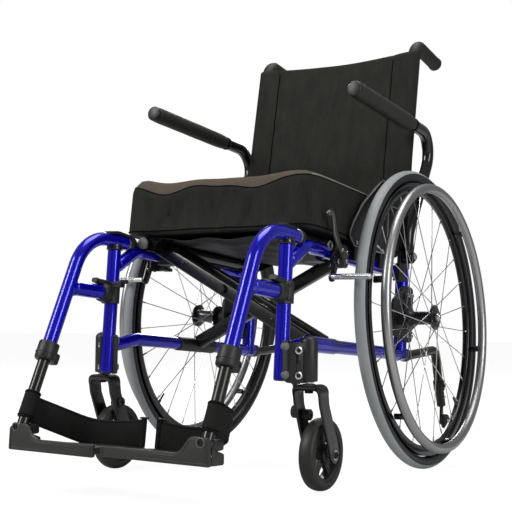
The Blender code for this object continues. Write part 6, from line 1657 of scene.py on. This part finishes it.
def stage():
    """Pale floor whose colour shows white to the camera and keeps the chair's shadow."""
    corners = [(x * FLOOR_SPAN, y * FLOOR_SPAN, FLOOR_Z) for x, y in ((-1, -1), (1, -1), (1, 1), (-1, 1))]
    mesh = bpy.data.meshes.new("floor")
    mesh.from_pydata(corners, [], [[0, 1, 2, 3]])
    floor = bpy.data.objects.new("floor", mesh)
    bpy.context.scene.collection.objects.link(floor)
    made, tree, shader = new_material("floor_white")
    shader.inputs["Base Color"].default_value = (FLOOR_TONE, FLOOR_TONE, FLOOR_TONE, 1.0)
    shader.inputs["Roughness"].default_value = 0.9
    shader.inputs["Specular IOR Level"].default_value = 0.1
    glow = tree.nodes.new("ShaderNodeEmission")
    glow.inputs["Strength"].default_value = FLOOR_GLOW
    path = tree.nodes.new("ShaderNodeLightPath")
    share = math_node(tree, "MULTIPLY", path.outputs["Is Camera Ray"], FLOOR_GLOW_SHARE)
    mix = tree.nodes.new("ShaderNodeMixShader")
    wire(tree, share, mix.inputs[0])
    wire(tree, shader.outputs[0], mix.inputs[1])
    wire(tree, glow.outputs[0], mix.inputs[2])
    wire(tree, mix.outputs[0], tree.nodes["Material Output"].inputs["Surface"])
    mesh.materials.append(made)


def world_light():
    """Even white world: full strength where the camera sees it, softer as light."""
    world = bpy.data.worlds.new("studio")
    bpy.context.scene.world = world
    world.use_nodes = True
    tree = world.node_tree
    back = tree.nodes["Background"]
    back.inputs["Color"].default_value = (1, 1, 1, 1)
    path = tree.nodes.new("ShaderNodeLightPath")
    seen = path.outputs["Is Camera Ray"]
    level = math_node(tree, "ADD", math_node(tree, "MULTIPLY", seen, 1 - SKY_LIGHT), SKY_LIGHT)
    wire(tree, level, back.inputs["Strength"])


def set_turn(made, across, up, ahead, place):
    """Place an object that looks along ahead, its own X and Y along across and up."""
    turn = np.eye(4)
    turn[:3] = np.column_stack([across, up, -ahead, place])
    made.matrix_world = Matrix(turn.tolist())


def softbox(name, place, aim, size, power):
    """Rectangular lamp at place, facing aim."""
    data = bpy.data.lights.new(name, "AREA")
    data.shape = "RECTANGLE"
    data.size, data.size_y = size
    data.energy = power
    lamp = bpy.data.objects.new(name, data)
    bpy.context.scene.collection.objects.link(lamp)
    ahead = unit(np.array(aim) - place)
    across = unit(np.cross(ahead, UP))
    set_turn(lamp, across, np.cross(across, ahead), ahead, place)


def camera():
    """Camera of the photograph: low, in front and to the chair's left, a short telephoto."""
    yaw, pitch, roll = CAMERA_YAW, CAMERA_PITCH, CAMERA_ROLL
    ahead = np.array([-np.sin(yaw) * np.cos(pitch), np.cos(yaw) * np.cos(pitch), np.sin(pitch)])
    level = np.array([np.cos(yaw), np.sin(yaw), 0])
    up = np.cross(level, ahead)
    data = bpy.data.cameras.new("camera")
    data.sensor_width = SENSOR_WIDTH
    data.lens = SENSOR_WIDTH * FOCAL_SHARE
    data.clip_end = 100
    made = bpy.data.objects.new("camera", data)
    bpy.context.scene.collection.objects.link(made)
    set_turn(made, np.cos(roll) * level + np.sin(roll) * up, np.cos(roll) * up - np.sin(roll) * level, ahead,
             floor_place(*CAMERA_PLACE))
    bpy.context.scene.camera = made


stage()
world_light()
camera()
softbox("key", (-1.8, -2.6, 2.4), (0, 0, 0.4), (0.9, 1.8), 75)
softbox("fill", (3.0, -1.0, 1.5), (0, 0, 0.4), (0.7, 2.2), 45)
softbox("top", (0.2, 0.4, 3.4), (0, 0, 0.3), (2.0, 2.0), 60)
softbox("rear", (-1.6, 2.6, 1.8), (0, 0, 0.5), (0.9, 1.6), 35)
bpy.context.scene.view_settings.view_transform = "Standard"
